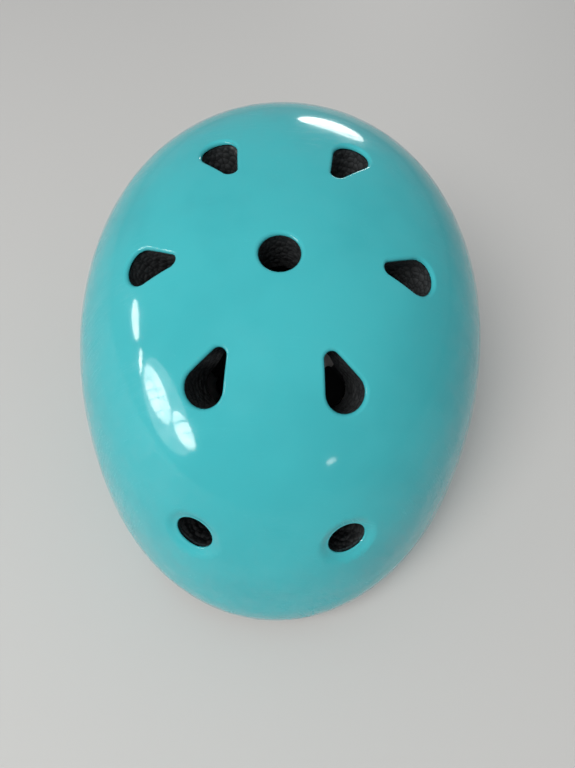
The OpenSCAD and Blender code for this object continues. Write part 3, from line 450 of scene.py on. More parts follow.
def add_rim(work, outer, inner, off, wall, lift, nose):
    """Rounds the lower edge between two layers, nose mm deep."""
    a = np.arange(len(outer[0])) * 360 / len(outer[0])
    low = rim(a) + lift
    last, last_n = outer
    for k in range(1, RIM_STEPS):
        t = pi * k / RIM_STEPS
        z = low + nose * (1 - sin(t))
        at = off + wall * (1 - cos(t)) / 2
        s = waist_scale(z)
        into = inward(a, s, z)
        p = skin(a, s, z) + into * at
        n = -into * cos(t) - np.array([0, 0, 1]) * sin(t)
        spots = work.add(p)
        work.bridge(last, spots, last_n, n)
        last, last_n = spots, n
    work.bridge(last, inner[0], last_n, inner[1])


def round_lip(work, vent, ring, far, off, grow, lip, side, steps, groove=no_groove):
    """Rounds a vent's edge on a layer into its wall, and runs the wall to the far layer's ring."""
    out = vent.outline[:, 3:4] * vent.x + vent.outline[:, 4:5] * vent.y
    spots, normals = ring
    for k in range(1, steps + 1):
        t = pi / 2 * k / steps
        flat = vent.ring(grow + lip * (1 - sin(t)), off, groove)
        up = side * lay_normal(flat, off, groove)
        beside = unit(out - up * np.einsum("ij,ij->i", out, up)[:, None])
        n = up * cos(t) - beside * sin(t)
        low = work.add(lay(flat, off + side * lip * (1 - cos(t)), groove))
        work.bridge(spots, low, normals, n)
        spots, normals = low, n
    work.bridge(spots, far[0], normals, normals)


def build_shell():
    """The moulded shell, with rounded lips down into its vents and a rounded rim."""
    work = Patchwork()
    halos = [v.ring(v.lip + grow, 0) for v in VENTS for grow in (0.9, 2.1)]
    starts = [v.ring(v.lip, 0) for v in VENTS]
    edge, holes = add_layer(work, 0, level_ring(SHELL_NOSE), starts, SHELL_SPACING, halos=halos)
    inner_rings = [v.ring(v.flare, 0) for v in VENTS]
    inner_edge, inner_holes = add_layer(
        work, SHELL_WALL, level_ring(SHELL_NOSE), inner_rings, SHELL_INNER_SPACING, outward=-1)
    add_rim(work, edge, inner_edge, 0, SHELL_WALL, 0, SHELL_NOSE)
    for v, ring, low in zip(VENTS, holes, inner_holes):
        round_lip(work, v, ring, low, 0, 0, v.lip, 1, SHELL_LIP_STEPS)
    return work.mesh("outer_shell_skin")


def build_liner():
    """The foam liner: two layers, the walls of its vents and soft air channels."""
    work = Patchwork()
    extra, groove = LINER_VENT_EXTRA, channel_groove
    edge = level_ring(LINER_RISE + LINER_NOSE)
    outer_rings = [v.ring(extra, LINER_OFF) for v in VENTS]
    outer, outer_holes = add_layer(work, LINER_OFF, edge, outer_rings, LINER_OUTER_SPACING)
    starts = [v.ring(extra + LINER_LIP, INNER_OFF, groove) for v in VENTS]
    inner, holes = add_layer(work, INNER_OFF, edge, starts, LINER_SPACING, outward=-1, groove=groove)
    add_rim(work, outer, inner, LINER_OFF, LINER_WALL, LINER_RISE, LINER_NOSE)
    for v, ring, top in zip(VENTS, holes, outer_holes):
        round_lip(work, v, ring, top, INNER_OFF, extra, LINER_LIP, -1, LINER_LIP_STEPS, groove)
    return work.mesh("foam_liner")


# Materials
def wire_operator(operation, swapped=False):
    def act(self, other):
        values = (other, self) if swapped else (self, other)
        return self.finish.maths(operation, *values)
    return act


class Wire:
    """A socket that adds, subtracts, multiplies and divides as numbers do."""

    def __init__(self, finish, socket):
        self.finish, self.socket = finish, socket

    __add__, __radd__ = wire_operator("ADD"), wire_operator("ADD", True)
    __sub__, __rsub__ = wire_operator("SUBTRACT"), wire_operator("SUBTRACT", True)
    __mul__, __rmul__ = wire_operator("MULTIPLY"), wire_operator("MULTIPLY", True)
    __truediv__ = wire_operator("DIVIDE")


class Finish:
    """A material made of one Principled shader and the nodes that feed it."""

    def __init__(self, name, **constants):
        self.material = bpy.data.materials.new(name)
        self.material.use_nodes = True
        self.tree = self.material.node_tree
        self.shader = self.tree.nodes["Principled BSDF"]
        for key, value in constants.items():
            self.shader.inputs[key.replace("_", " ")].default_value = value

    @cached_property
    def where(self):
        """The object's own coordinates, unturned and unscaled."""
        return self.place()

    def _set(self, socket, value):
        if isinstance(value, Wire):
            self.tree.links.new(value.socket, socket)
        else:
            socket.default_value = value

    def node(self, kind, settings=None, *values, out=0, **named):
        """Adds a node: settings first, then values or wires for its inputs."""
        made = self.tree.nodes.new(kind)
        for key, value in (settings or {}).items():
            setattr(made, key, value)
        for spot, value in enumerate(values):
            if value is not None:
                self._set(made.inputs[spot], value)
        for key, value in named.items():
            self._set(made.inputs[key.replace("_", " ")], value)
        return Wire(self, made.outputs[out])

    def maths(self, operation, *values):
        return self.node("ShaderNodeMath", {"operation": operation}, *values)

    def place(self, scale=(1, 1, 1), turn=(0, 0, 0), uv=False):
        """Object coordinates or the piece's own UV map, scaled and turned."""
        source = self.node("ShaderNodeTexCoord", out=2 if uv else 3)
        return self.node("ShaderNodeMapping", {}, source, Scale=scale, Rotation=turn)

    def noise(self, scale, detail=2.0, roughness=0.5, where=None):
        spot = where or self.where
        return self.node("ShaderNodeTexNoise", Vector=spot, Scale=scale, Detail=detail, Roughness=roughness)

    def cells(self, scale, feature="F1", smooth=None):
        wire = self.node("ShaderNodeTexVoronoi", {"feature": feature}, Vector=self.where, Scale=scale)
        if smooth is not None:
            wire.socket.node.inputs["Smoothness"].default_value = smooth
        return wire

    def between(self, value, low, high):
        """0 below low, 1 above high, eased between them."""
        eased = {"interpolation_type": "SMOOTHSTEP"}
        return self.node("ShaderNodeMapRange", eased, value, low, high, 0.0, 1.0)

    def colour(self, share, first, second):
        """Feeds the base colour with a blend of two tones."""
        mixed = self.node("ShaderNodeMix", {"data_type": "RGBA"}, out=2)
        for spot, value in ((0, share), (6, (*first, 1)), (7, (*second, 1))):
            self._set(mixed.socket.node.inputs[spot], value)
        self.feed(Base_Color=mixed)

    def feed(self, **sockets):
        for key, value in sockets.items():
            self._set(self.shader.inputs[key.replace("_", " ")], value)

    def relief(self, height, distance, strength=1.0, under=None):
        """A bump in metres."""
        wire = self.node("ShaderNodeBump", Strength=strength, Distance=distance, Height=height)
        if under is not None:
            self._set(wire.socket.node.inputs["Normal"], under)
        return wire


def scratch_lines(finish, turn, long, fine, level):
    """Hairlines: noise stretched along one direction, kept where it nears its middle."""
    lines = finish.noise(1.0, 3.0, 0.55, finish.place((long, fine, long), turn))
    close = finish.maths("ABSOLUTE", lines - 0.5)
    patchy = finish.between(finish.noise(level), 0.5, 0.66)
    return (1 - finish.between(close, 0.0, 0.012)) * patchy


# Turn, scale along and across the hairlines, and scale of the patches that they keep to
SCRATCHES = [
    ((0.3, 0.2, 0.5), 14.0, 420.0, 24.0),
    ((0.9, -0.4, 1.9), 18.0, 520.0, 31.0),
    ((-0.5, 0.8, -0.7), 22.0, 460.0, 19.0),
]


def glossy_teal():
    finish = Finish("shell_teal", Specular_IOR_Level=0.06, Coat_Roughness=0.06, Coat_IOR=1.45)
    finish.colour(finish.between(finish.noise(22.0, 3.0), 0.35, 0.65), (0.042, 0.362, 0.405), (0.048, 0.392, 0.435))
    first, second, third = (scratch_lines(finish, *values) for values in SCRATCHES)
    lines = first + second + third
    swirl = finish.between(finish.noise(60.0, 4.0, 0.6), 0.45, 0.7)
    worn = finish.between(finish.noise(130.0, 5.0, 0.65), 0.42, 0.62)
    specks = 1 - finish.between(finish.cells(420.0), 0.08, 0.16)
    dust = specks * finish.between(finish.noise(36.0), 0.52, 0.62)
    finish.feed(Roughness=0.12 + 0.1 * swirl + 0.2 * lines + 0.25 * dust)
    finish.feed(Coat_Weight=(0.3 + 0.2 * worn) * (1 - 0.8 * lines) * (1 - 0.8 * dust))
    peel = finish.relief(finish.noise(320.0, 1.0), 0.00002, 0.5)
    finish.feed(Normal=finish.relief(3 * dust - lines, 0.00002, 0.6, under=peel))
    return finish.material


def bead_foam():
    """Moulded foam: beads pressed together, each a little domed."""
    finish = Finish("foam_black", Roughness=0.6, IOR=1.45)
    bead, seam = finish.cells(390.0, "SMOOTH_F1", 0.25), finish.cells(390.0, "DISTANCE_TO_EDGE")
    finish.colour(finish.between(seam, 0.0, 0.11), (0.012, 0.013, 0.014), (0.032, 0.034, 0.036))
    finish.feed(Roughness=0.72 - 0.2 * finish.between(seam, 0.02, 0.3))
    fine = finish.relief(finish.noise(1400.0), 0.0001, 0.35)
    finish.feed(Normal=finish.relief(1 - bead, 0.0011, 0.75, under=fine))
    return finish.material


def knit_fabric():
    finish = Finish("pad_fabric", Roughness=0.9, Sheen_Weight=0.35, Sheen_Roughness=0.5)
    loops, patch = finish.cells(900.0), finish.noise(45.0, 3.0)
    fluff = finish.noise(2600.0, 3.0, 0.7)
    share = finish.between(patch * 0.6 + fluff * 0.4, 0.38, 0.62)
    finish.colour(share, (0.028, 0.030, 0.033), (0.052, 0.055, 0.06))
    finish.feed(Roughness=0.82 + 0.14 * fluff)
    finish.feed(Normal=finish.relief(loops * 0.6 + fluff * 0.4, 0.0005, 0.8))
    return finish.material


def woven_webbing():
    """Nylon webbing: the UV map holds millimetres along and across the tape."""
    finish = Finish("webbing", Roughness=0.6, Sheen_Weight=0.25, Sheen_Roughness=0.4)
    parts = finish.node("ShaderNodeSeparateXYZ", {}, finish.place(uv=True))
    along, side = parts, Wire(finish, parts.socket.node.outputs[1])

    def wave(value, length):
        return finish.maths("SINE", value * (2 * pi / length)) * 0.5 + 0.5

    pick, yarn = 1.25, 0.75
    shift = finish.maths("PINGPONG", side, yarn) / yarn
    cross = wave(along + shift * (pick / 2), pick)
    weave = cross * 0.6 + wave(side, yarn) * 0.25 + wave(along, pick) * 0.15
    fuzz = finish.noise(3000.0, 2.0, 0.7)
    finish.colour(finish.between(weave + fuzz * 0.3, 0.2, 1.0), (0.006, 0.006, 0.007), (0.030, 0.030, 0.033))
    finish.feed(Roughness=0.5 + 0.3 * fuzz)
    finish.feed(Normal=finish.relief(weave + fuzz * 0.15, 0.00035, 0.9))
    return finish.material


def moulded_black():
    finish = Finish("plastic_black", Roughness=0.45, IOR=1.46)
    worn = finish.between(finish.noise(90.0, 4.0, 0.6), 0.5, 0.75)
    finish.colour(worn, (0.012, 0.012, 0.013), (0.020, 0.020, 0.022))
    finish.feed(Roughness=0.42 + 0.14 * worn)
    finish.feed(Normal=finish.relief(finish.noise(2200.0, 3.0, 0.6), 0.00008, 0.5))
    return finish.material


def hook_fabric():
    finish = Finish("hook_fabric", Roughness=0.8)
    hooks = finish.cells(1100.0)
    finish.colour(finish.between(hooks, 0.1, 0.6), (0.03, 0.03, 0.032), (0.010, 0.010, 0.011))
    finish.feed(Normal=finish.relief(1 - hooks, 0.0006, 0.9))
    return finish.material


def bright_steel():
    finish = Finish("spring_steel", Metallic=1.0, Roughness=0.3)
    brushed = finish.noise(1.0, 3.0, where=finish.place((30.0, 900.0, 900.0)))
    finish.colour(finish.between(brushed, 0.3, 0.7), (0.42, 0.42, 0.43), (0.58, 0.58, 0.59))
    finish.feed(Roughness=0.24 + 0.16 * brushed)
    return finish.material


FINISHES = {
    "shell_teal": glossy_teal(),
    "foam_black": bead_foam(),
    "pad_fabric": knit_fabric(),
    "webbing": woven_webbing(),
    "plastic_black": moulded_black(),
    "hook_fabric": hook_fabric(),
    "spring_steel": bright_steel(),
}


def dress(piece, slot, body, *nodes):
    """Gives a finished piece its material, hides the CAD nodes that it stands for and, if named, attaches it to its
    body.
    """
    piece.data.materials.clear()
    piece.data.materials.append(FINISHES[slot])
    if nodes:
        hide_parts(*nodes)
    if body:
        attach(piece, body)


# Camera, at the photograph's viewing angle
def place_camera():
    azimuth, elevation, roll = radians(0.56), radians(58.17), radians(1.61)
    target, away = Vector((0, MID_SHIFT, 72.97)) * MM, 298.7 * MM
    right_shift, up_shift = 4.281 * MM, -23.643 * MM
    focal_px, long_side_px, sensor = 558.7, 768, 36.0
    back = Vector((sin(azimuth) * cos(elevation), -cos(azimuth) * cos(elevation), sin(elevation)))
    right = (-back).cross(Vector((0, 0, 1))).normalized()
    up = right.cross(-back)
    place = target + back * away + right * right_shift + up * up_shift
    turned_right = right * cos(roll) + up * sin(roll)
    turned_up = up * cos(roll) - right * sin(roll)
    data = bpy.data.cameras.new("camera")
    data.sensor_fit, data.sensor_width = "AUTO", sensor
    data.lens = focal_px / long_side_px * sensor
    data.clip_start, data.clip_end = 0.01, 20
    camera = new_object("camera", data)
    rows = Matrix((turned_right, turned_up, back)).transposed().to_4x4()
    camera.matrix_world = Matrix.Translation(place) @ rows
    SCENE.camera = camera


place_camera()

dress(build_shell(), "shell_teal", "helmet", "outer_shell")
dress(build_liner(), "foam_black", "helmet", "eps_liner")


# Shapes shared by the fittings
def tube_faces(rings, count):
    """Faces of a closed tube through rings of count points, with both its ends."""
    faces = [tuple(range(count))[::-1]]
    for low in range(0, (rings - 1) * count, count):
        for j in range(count):
            n = (j + 1) % count
            faces.append((low + j, low + n, low + count + n, low + count + j))
    return [*faces, tuple(range((rings - 1) * count, rings * count))]


def soften(node, width=0.3, segments=2):
    """A moulded copy of a CAD node: its faces joined, its edges rounded."""
    work = bmesh.new()
    work.from_mesh(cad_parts[node].data)
    bmesh.ops.remove_doubles(work, verts=work.verts, dist=1e-6)
    bmesh.ops.dissolve_limit(work, angle_limit=radians(0.6), verts=work.verts, edges=work.edges)
    data = bpy.data.meshes.new(f"{node}_moulded")
    work.to_mesh(data)
    work.free()
    piece = new_object(data.name, data)
    data.shade_smooth()
    bevel = piece.modifiers.new("edges", "BEVEL")
    bevel.width, bevel.segments = width * MM, segments
    bevel.limit_method, bevel.angle_limit = "ANGLE", radians(34)
    bevel.use_clamp_overlap, bevel.harden_normals = True, True
    piece.modifiers.new("shading", "WEIGHTED_NORMAL").keep_sharp = True
    return finished(piece)


def repeat_tree(name, inputs, arrange):
    """A node tree that sets a shape on points and paints the copies. Arrange links both of them."""
    tree = bpy.data.node_groups.new(name, "GeometryNodeTree")
    for label, kind in (*inputs, ("Paint", "Material")):
        tree.interface.new_socket(label, in_out="INPUT", socket_type=f"NodeSocket{kind}")
    tree.interface.new_socket("Copies", in_out="OUTPUT", socket_type="NodeSocketGeometry")
    add, link = tree.nodes.new, tree.links.new
    given, made, place = add("NodeGroupInput"), add("NodeGroupOutput"), add("GeometryNodeInstanceOnPoints")
    arrange(add, link, given.outputs, place.inputs)
    real, paint = add("GeometryNodeRealizeInstances"), add("GeometryNodeSetMaterial")
    link(place.outputs[0], real.inputs[0])
    link(real.outputs[0], paint.inputs[0])
    link(given.outputs["Paint"], paint.inputs["Material"])
    link(paint.outputs[0], made.inputs[0])
    return tree


def sewn_thread(add, link, given, place):
    """Short rounded threads laid end to end along lines."""
    curve, points = add("GeometryNodeMeshToCurve"), add("GeometryNodeCurveToPoints")
    points.mode = "LENGTH"
    link(given["Lines"], curve.inputs[0])
    link(curve.outputs[0], points.inputs["Curve"])
    link(given["Pitch"], points.inputs["Length"])
    thread, size, half = add("GeometryNodeMeshUVSphere"), add("ShaderNodeCombineXYZ"), add("ShaderNodeMath")
    for label, value in (("Segments", 6), ("Rings", 5), ("Radius", 1.0)):
        thread.inputs[label].default_value = value
    half.operation = "MULTIPLY"
    half.inputs[1].default_value = 0.5
    link(given["Thread Length"], half.inputs[0])
    for spot, source in enumerate((given["Thread Radius"], given["Thread Radius"], half.outputs[0])):
        link(source, size.inputs[spot])
    link(points.outputs["Points"], place["Points"])
    link(thread.outputs["Mesh"], place["Instance"])
    link(points.outputs["Rotation"], place["Rotation"])
    link(size.outputs[0], place["Scale"])


def shape_on_points(add, link, given, place):
    """One shape set on every point, turned and sized by the points' own attributes."""
    shape = add("GeometryNodeObjectInfo")
    shape.inputs["As Instance"].default_value = True
    link(given["Shape"], shape.inputs["Object"])
    link(given["Points"], place["Points"])
    link(shape.outputs["Geometry"], place["Instance"])
    for label, spot in (("turn", "Rotation"), ("size", "Scale")):
        read = add("GeometryNodeInputNamedAttribute")
        read.data_type = "FLOAT_VECTOR"
        read.inputs["Name"].default_value = label
        link(read.outputs["Attribute"], place[spot])


THREAD_SIZES = ("Pitch", "Thread Length", "Thread Radius")
THREAD_INPUTS = [("Lines", "Geometry"), *((size, "Float") for size in THREAD_SIZES)]
THREAD = repeat_tree("sewn_thread", THREAD_INPUTS, sewn_thread)
COPIES = repeat_tree("set_on_points", [("Points", "Geometry"), ("Shape", "Object")], shape_on_points)


def repeated(piece, tree, values, slot, body):
    """The piece with a tree's copies as its mesh, and its material and body."""
    setting = piece.modifiers.new("repeats", "NODES")
    setting.node_group = tree
    inputs = {s.name: s.identifier for s in tree.interface.items_tree if s.item_type == "SOCKET"}
    for label, value in {**values, "Paint": FINISHES[slot]}.items():
        setting[inputs[label]] = value
    piece = finished(piece)
    piece.data.shade_smooth()
    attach(piece, body)
    return piece


def stitched(name, lines, slot, body, sizes=(0.8, 1.15, 0.17)):
    """Threads sewn along lines of points in mm, as one piece. Sizes are pitch, length and radius."""
    points, edges = [], []
    for line in lines:
        edges += [(k, k + 1) for k in range(len(points), len(points) + len(line) - 1)]
        points += [tuple(p) for p in line]
    values = {label: size * MM for label, size in zip(THREAD_SIZES, sizes)}
    return repeated(plain_piece(name, points, [], edges), THREAD, values, slot, body)


def copied(name, shape, spots, slot, body):
    """Copies of a shape at spots (place in mm, turn as three unit axes, size), as one piece."""
    piece = plain_piece(name, [p for p, _, _ in spots], [])
    turns = [tuple(Matrix(np.asarray(axes).T.tolist()).to_euler()) for _, axes, _ in spots]
    for label, values in (("turn", turns), ("size", [size for _, _, size in spots])):
        layer = piece.data.attributes.new(label, "FLOAT_VECTOR", "POINT")
        layer.data.foreach_set("vector", np.asarray(values, np.float32).ravel())
    piece = repeated(piece, COPIES, {"Shape": shape}, slot, body)
    bpy.data.objects.remove(shape)
    return piece


# Webbing
WEB_HALF, WEB_THICK = 7.5, 1.6
BAR_R, BAR_PLAY, BAR_Z = 1.5, 0.06, 4.2
LOOP_R = BAR_R + BAR_PLAY + WEB_THICK / 2
RUN_Z = BAR_Z - LOOP_R
ANCHOR_OUT = 78.0
FOLD_BAR, FOLD_Z, FOLD_HALF = np.array([16.0, 12.0]), 3.6, 10.3
STRAND_ROUTES = {
    "front": [(78, -42), (56, -42), (44, -26), (29, 0)],
    "rear": [(78, 55), (56, 55), (50, 36), (34, 19)],
}
CHIN_X, BUCKLE_Y = 16.0, -58.0
DROP_FROM, DROP_TO = -13.0, -29.0
TAIL_THICK, TAIL_GAP, TAIL_END = 1.4, 0.25, -18.2
TURN_REACH, SUNK = 9.5, 0.03
SEWN_Z = RUN_Z + WEB_THICK * 1.5 - SUNK
FOLD_TOP = FOLD_Z + LOOP_R + BAR_PLAY
TACK_HALF, TACK_SWING = 6.2, 0.55
TACK = [(w, TACK_SWING * (-1) ** k) for k, w in enumerate(np.linspace(-TACK_HALF, TACK_HALF, 25))]
SLANT = np.array([cos(pi / 4), sin(pi / 4)])
SEWN_LONG, STRAND_TACKS, CHIN_TACKS = 22.0, (11.5, 13, 20), (-47, -45.5, -38)
TAPE_ACROSS = np.array([-1, -0.97, -0.85, -0.45, 0, 0.45, 0.85, 0.97, 1])
TAPE_FULL = np.array([0.4, 0.82, 1, 1, 1, 1, 1, 0.82, 0.4])


def tape(name, rows, thick=WEB_THICK):
    """A woven tape. A row is its two edges, its upward normal and the edges' places on the flat tape."""
    points, places = [], []
    w = (TAPE_ACROSS + 1) / 2
    last = len(rows) - 1
    for k, (left, right, up, flat_left, flat_right) in enumerate(rows):
        left, right, up = (np.asarray(v, float) for v in (left, right, up))
        full = TAPE_FULL * (0.55 if k in (0, last) else 1) * thick / 2
        line = left + (right - left) * w[:, None]
        spots = np.asarray(flat_left, float) + (np.asarray(flat_right, float) - flat_left) * w[:, None]
        points += [line + up * full[:, None], (line - up * full[:, None])[::-1]]
        places += [spots, spots[::-1]]
    points, places = np.concatenate(points), np.concatenate(places)
    piece = plain_piece(name, points, tube_faces(len(rows), 2 * len(w)), outward=True)
    layer = piece.data.uv_layers.new(name="UVMap")
    corners = np.zeros(len(piece.data.loops), int)
    piece.data.loops.foreach_get("vertex_index", corners)
    layer.data.foreach_set("uv", places[corners].ravel())
    piece.data.shade_smooth()
    return piece


def far_along(points):
    """How far each point of a line is from its start, along the line."""
    return np.concatenate([[0], np.cumsum(np.linalg.norm(np.diff(points, axis=0), axis=1))])


def turned_over(d):
    """Height of the webbing's sewn end, d mm from the bar that it turns round."""
    return RUN_Z + WEB_THICK + (2 * LOOP_R - WEB_THICK) * ease(1 - d / TURN_REACH)


def rows_along(points, ups, half, start=0.0):
    """Rows for a tape through its middle's points, with the side that faces up at each."""
    points, ups = np.asarray(points, float), np.asarray(ups, float)
    run = unit(np.gradient(points, axis=0))
    side = unit(np.cross(ups, run))
    ups = np.cross(run, side)
    far = start + far_along(points)
    return [(p - s * half, p + s * half, u, (t, -half), (t, half)) for p, s, u, t in zip(points, side, ups, far)]


def level(points, up=1.0):
    """Upward or downward directions, one for each point."""
    return np.tile([0, 0, up], (len(points), 1))


def bezier(route, t):
    a, b, c, d = (np.asarray(p, float) for p in route)
    t = np.asarray(t, float)[:, None]
    return (1 - t) ** 3 * a + 3 * (1 - t) ** 2 * t * b + 3 * (1 - t) * t * t * c + t ** 3 * d


def flipped(points, side):
    return np.asarray(points, float) * [side, 1, 1]


def sew_strap(name, body, rows, lines, side):
    """A strap's tape, and its tacks on lines that are drawn for the left side."""
    dress(tape(f"{name}_webbing", rows), "webbing", body, name)
    stitched(f"{name}_tacks", [flipped(line, side) for line in lines], "webbing", body)


def strand(end, side):
    """One strap of the V: sewn round its anchor's bar, then laid flat towards the divider."""
    plan = bezier(STRAND_ROUTES[end], np.linspace(0, 1, 60))
    far = far_along(plan)

    def at(d):
        return np.stack([np.interp(d, far, plan[:, 0]), np.interp(d, far, plan[:, 1])], -1)

    over = np.concatenate([[SEWN_LONG, SEWN_LONG - 0.6], np.linspace(SEWN_LONG - 2, 0.5, 22)])
    turn = np.radians(np.linspace(0, 180, 15))
    out = np.stack([np.sin(turn), 0 * turn, np.cos(turn)], -1)
    under = np.concatenate([[0.6], np.linspace(2, far[-1] - 0.4, 34), [far[-1]]])
    points = np.concatenate([
        np.column_stack([at(over), turned_over(over)]),
        np.array([ANCHOR_OUT, plan[0, 1], BAR_Z]) + LOOP_R * out,
        np.column_stack([at(under), 0 * under + RUN_Z]),
    ])
    ups = np.concatenate([
        level(over),
        out,
        level(under, -1.0),
    ])
    rows = rows_along(flipped(points, side), flipped(ups, side), WEB_HALF)
    lines = []
    for d in STRAND_TACKS:
        middle, near = at(np.array([d, d - 0.2]))
        run = unit(near - middle)
        across = np.array([-run[1], run[0]])
        lines.append([(*(middle + across * w + run * swing), SEWN_Z) for w, swing in TACK])
    label = "left" if side > 0 else "right"
    sew_strap(f"{end}_strap_{label}", f"strap_v_{label}", rows, lines, side)


def chin_rows():
    """The chin strap from its sewn turn round the slanted bar to the buckle's bar."""
    u, across = np.array([*SLANT, 0]), np.array([-SLANT[1], SLANT[0], 0])
    middle = np.array([*FOLD_BAR, FOLD_Z])
    rows = []
    turns = np.radians(np.linspace(292, 0, 26))
    for t in turns:
        out = across * sin(t) + np.array([0, 0, cos(t)])
        c, back = middle + out * LOOP_R, t * LOOP_R
        ends = [c - u * FOLD_HALF, c + u * FOLD_HALF]
        rows.append((*ends, out, (-5 - back, -WEB_HALF), (-19 - back, WEB_HALF)))
    edges = [
        ((10.17, 3.63), (23.5, 16.95)), ((11.45, 2.35), (23.5, 14.4)), ((10.6, 0.7), (23.5, 10.5)),
        ((9.4, -1.5), (23.5, 6)), ((8.5, -3.14), (23.5, 1)), ((8.5, -7), (23.5, -4.5)), ((8.5, -11), (23.5, -10.5)),
    ]
    for left, right in edges:
        flat_left, flat_right = ((-y, x - CHIN_X) for x, y in (left, right))
        rows.append(((*left, FOLD_TOP), (*right, FOLD_TOP), (0, 0, 1), flat_left, flat_right))
    dropping = np.linspace(DROP_FROM + 1.2, DROP_TO - 1.2, 14)
    y = np.concatenate([dropping, np.linspace(DROP_TO - 3, BUCKLE_Y + 0.6, 12)])
    slope = (FOLD_TOP - RUN_Z) / (DROP_FROM - DROP_TO)
    z = np.clip(FOLD_TOP + (y - DROP_FROM) * slope, RUN_Z, FOLD_TOP)
    soft = 1.1
    z = np.where(np.abs(y - DROP_FROM) < soft, FOLD_TOP - slope * (DROP_FROM + soft - y) ** 2 / 4 / soft, z)
    z = np.where(np.abs(y - DROP_TO) < soft, RUN_Z + slope * (y - DROP_TO + soft) ** 2 / 4 / soft, z)
    points = np.stack([0 * y + CHIN_X, y, z], -1)
    straight = rows_along(points, level(y), WEB_HALF)
    rows += [(left, right, up, (-c, -WEB_HALF), (-c, WEB_HALF)) for (left, right, up, _, _), c in zip(straight, y)]
    return rows


def buckle_turn(last):
    """The turn round the buckle's bar, up to an angle from below."""
    turn = np.radians(np.linspace(0, last, 15))
    out = np.stack([0 * turn, np.sin(turn), np.cos(turn)], -1)
    return np.array([CHIN_X, BUCKLE_Y, BAR_Z]) - LOOP_R * out, out


def flip_rows(rows, side):
    if side > 0:
        return rows
    return [(flipped(right, -1), flipped(left, -1), flipped(up, -1), fr, fl) for left, right, up, fl, fr in rows]


def chin_strap(side):
    rows = chin_rows()
    points, ups = buckle_turn(180 if side > 0 else 196)
    if side > 0:
        back = np.concatenate([np.linspace(0.5, SEWN_LONG - 1.5, 24), [SEWN_LONG - 0.4, SEWN_LONG]])
        points = np.concatenate([points, np.stack([0 * back + CHIN_X, BUCKLE_Y + back, turned_over(back)], -1)])
        ups = np.concatenate([ups, level(back, -1.0)])
    rows += rows_along(points, ups, WEB_HALF, start=-BUCKLE_Y)
    top, lines = FOLD_TOP + WEB_THICK / 2 - SUNK, []
    for back in (4.6, 6.4):
        start = FOLD_BAR + back * SLANT * [1, -1]
        spots = np.linspace(-7.2, (CHIN_X + 6.8 - start[0]) / SLANT[0], 15)
        lines.append([(*(start + SLANT * s), top) for s in spots])
    if side > 0:
        lines += [[(CHIN_X + w, y + swing, SEWN_Z) for w, swing in TACK] for y in CHIN_TACKS]
    label = "left" if side > 0 else "right"
    sew_strap(f"chin_strap_{label}", f"chin_{label}", flip_rows(rows, side), lines, side)


def strap_tail():
    """The spare tail: from the top of the buckle's bar down onto the chin strap, and along it."""
    low = RUN_Z + WEB_THICK / 2 + TAIL_GAP + TAIL_THICK / 2
    first = np.linspace(BUCKLE_Y + 0.9, BUCKLE_Y + 7, 12)
    y = np.concatenate([first, np.linspace(BUCKLE_Y + 9, TAIL_END - 0.4, 28), [TAIL_END]])
    high = FOLD_TOP - RUN_Z
    slope = high / (DROP_FROM - DROP_TO)
    lift = np.clip((y - DROP_TO) * slope, 0, high)
    soft, rise = 1.5, 6.5
    lift = np.where(np.abs(y - DROP_TO) < soft, slope * (y - DROP_TO + soft) ** 2 / 4 / soft, lift)
    z = low + lift + (BAR_Z + LOOP_R - low) * ease(1 - (y - BUCKLE_Y) / rise)
    points = np.stack([0 * y - CHIN_X, y, z], -1)
    rows = rows_along(points, level(y), WEB_HALF - 0.05)
    dress(tape("strap_tail_webbing", rows, TAIL_THICK), "webbing", "chin_right", "strap_tail")
    hem = []
    for k, w in enumerate(np.linspace(-TACK_HALF, TACK_HALF, 23)):
        spot = TAIL_END - 3 - 0.5 * (-1) ** k
        hem.append((-CHIN_X + w, spot, np.interp(spot, y, z) + TAIL_THICK / 2 - SUNK))
    stitched("strap_tail_hem", [hem], "webbing", "chin_right", (0.8, 1.1, 0.16))


for side in (1, -1):
    strand("front", side)
    strand("rear", side)
    chin_strap(side)
strap_tail()


# Comfort pads: knit covers over foam, sewn shut along their borders
PAD_SQUARENESS = 0.6
PAD_SLACK, PAD_SWELL, PAD_BEND = 0.35, 1.6, 82.0
SEAM_WIDE, SEAM_THICK = 2.6, 1.5
PADS = {
    "front_pad": ((-90, 64), (36, 40), [-18.6, 18.6]),
    "rear_pad": ((90, 74), (15, 21), []),
    "side_pad_left": ((5, 68), (24, 22), [0]),
    "side_pad_right": ((175, 68), (24, 22), [0]),
}
SIDE_REACH, CHANNEL_STOP, PAD_FILL = 11, 10, 0.75
CROWN_MIDDLE, CROWN_HALF, CROWN_MIDS = 0.04, (0.1, 0.26), (10.8, 34)
CRADLE_HALF, CRADLE_Y, CRADLE_Z, CRADLE_THICK = (24.0, 14.0), 72.6976, 24.0, 5.0
SWELL_SCALE, SWELL_FRAMES = 8.0, 20
SWELL_SETTINGS = {
    "quality": 6, "mass": 0.3, "air_damping": 2.0, "tension_stiffness": 12, "compression_stiffness": 12,
    "shear_stiffness": 5, "bending_stiffness": 0.12, "use_pressure": True, "uniform_pressure_force": 2.5,
    "vertex_group_mass": "sewn", "pin_stiffness": 1.0, "shrink_min": -0.07,
}


def wall_point(a, z, off):
    return layer_point(a, waist_scale(z), z, off)


def disc_point(u, v, off):
    a, s = np.degrees(np.arctan2(v, u)), np.hypot(u, v)
    return layer_point(a, s, height_at(s), off)


def corner(c):
    return np.sign(c) * np.abs(c) ** PAD_SQUARENESS


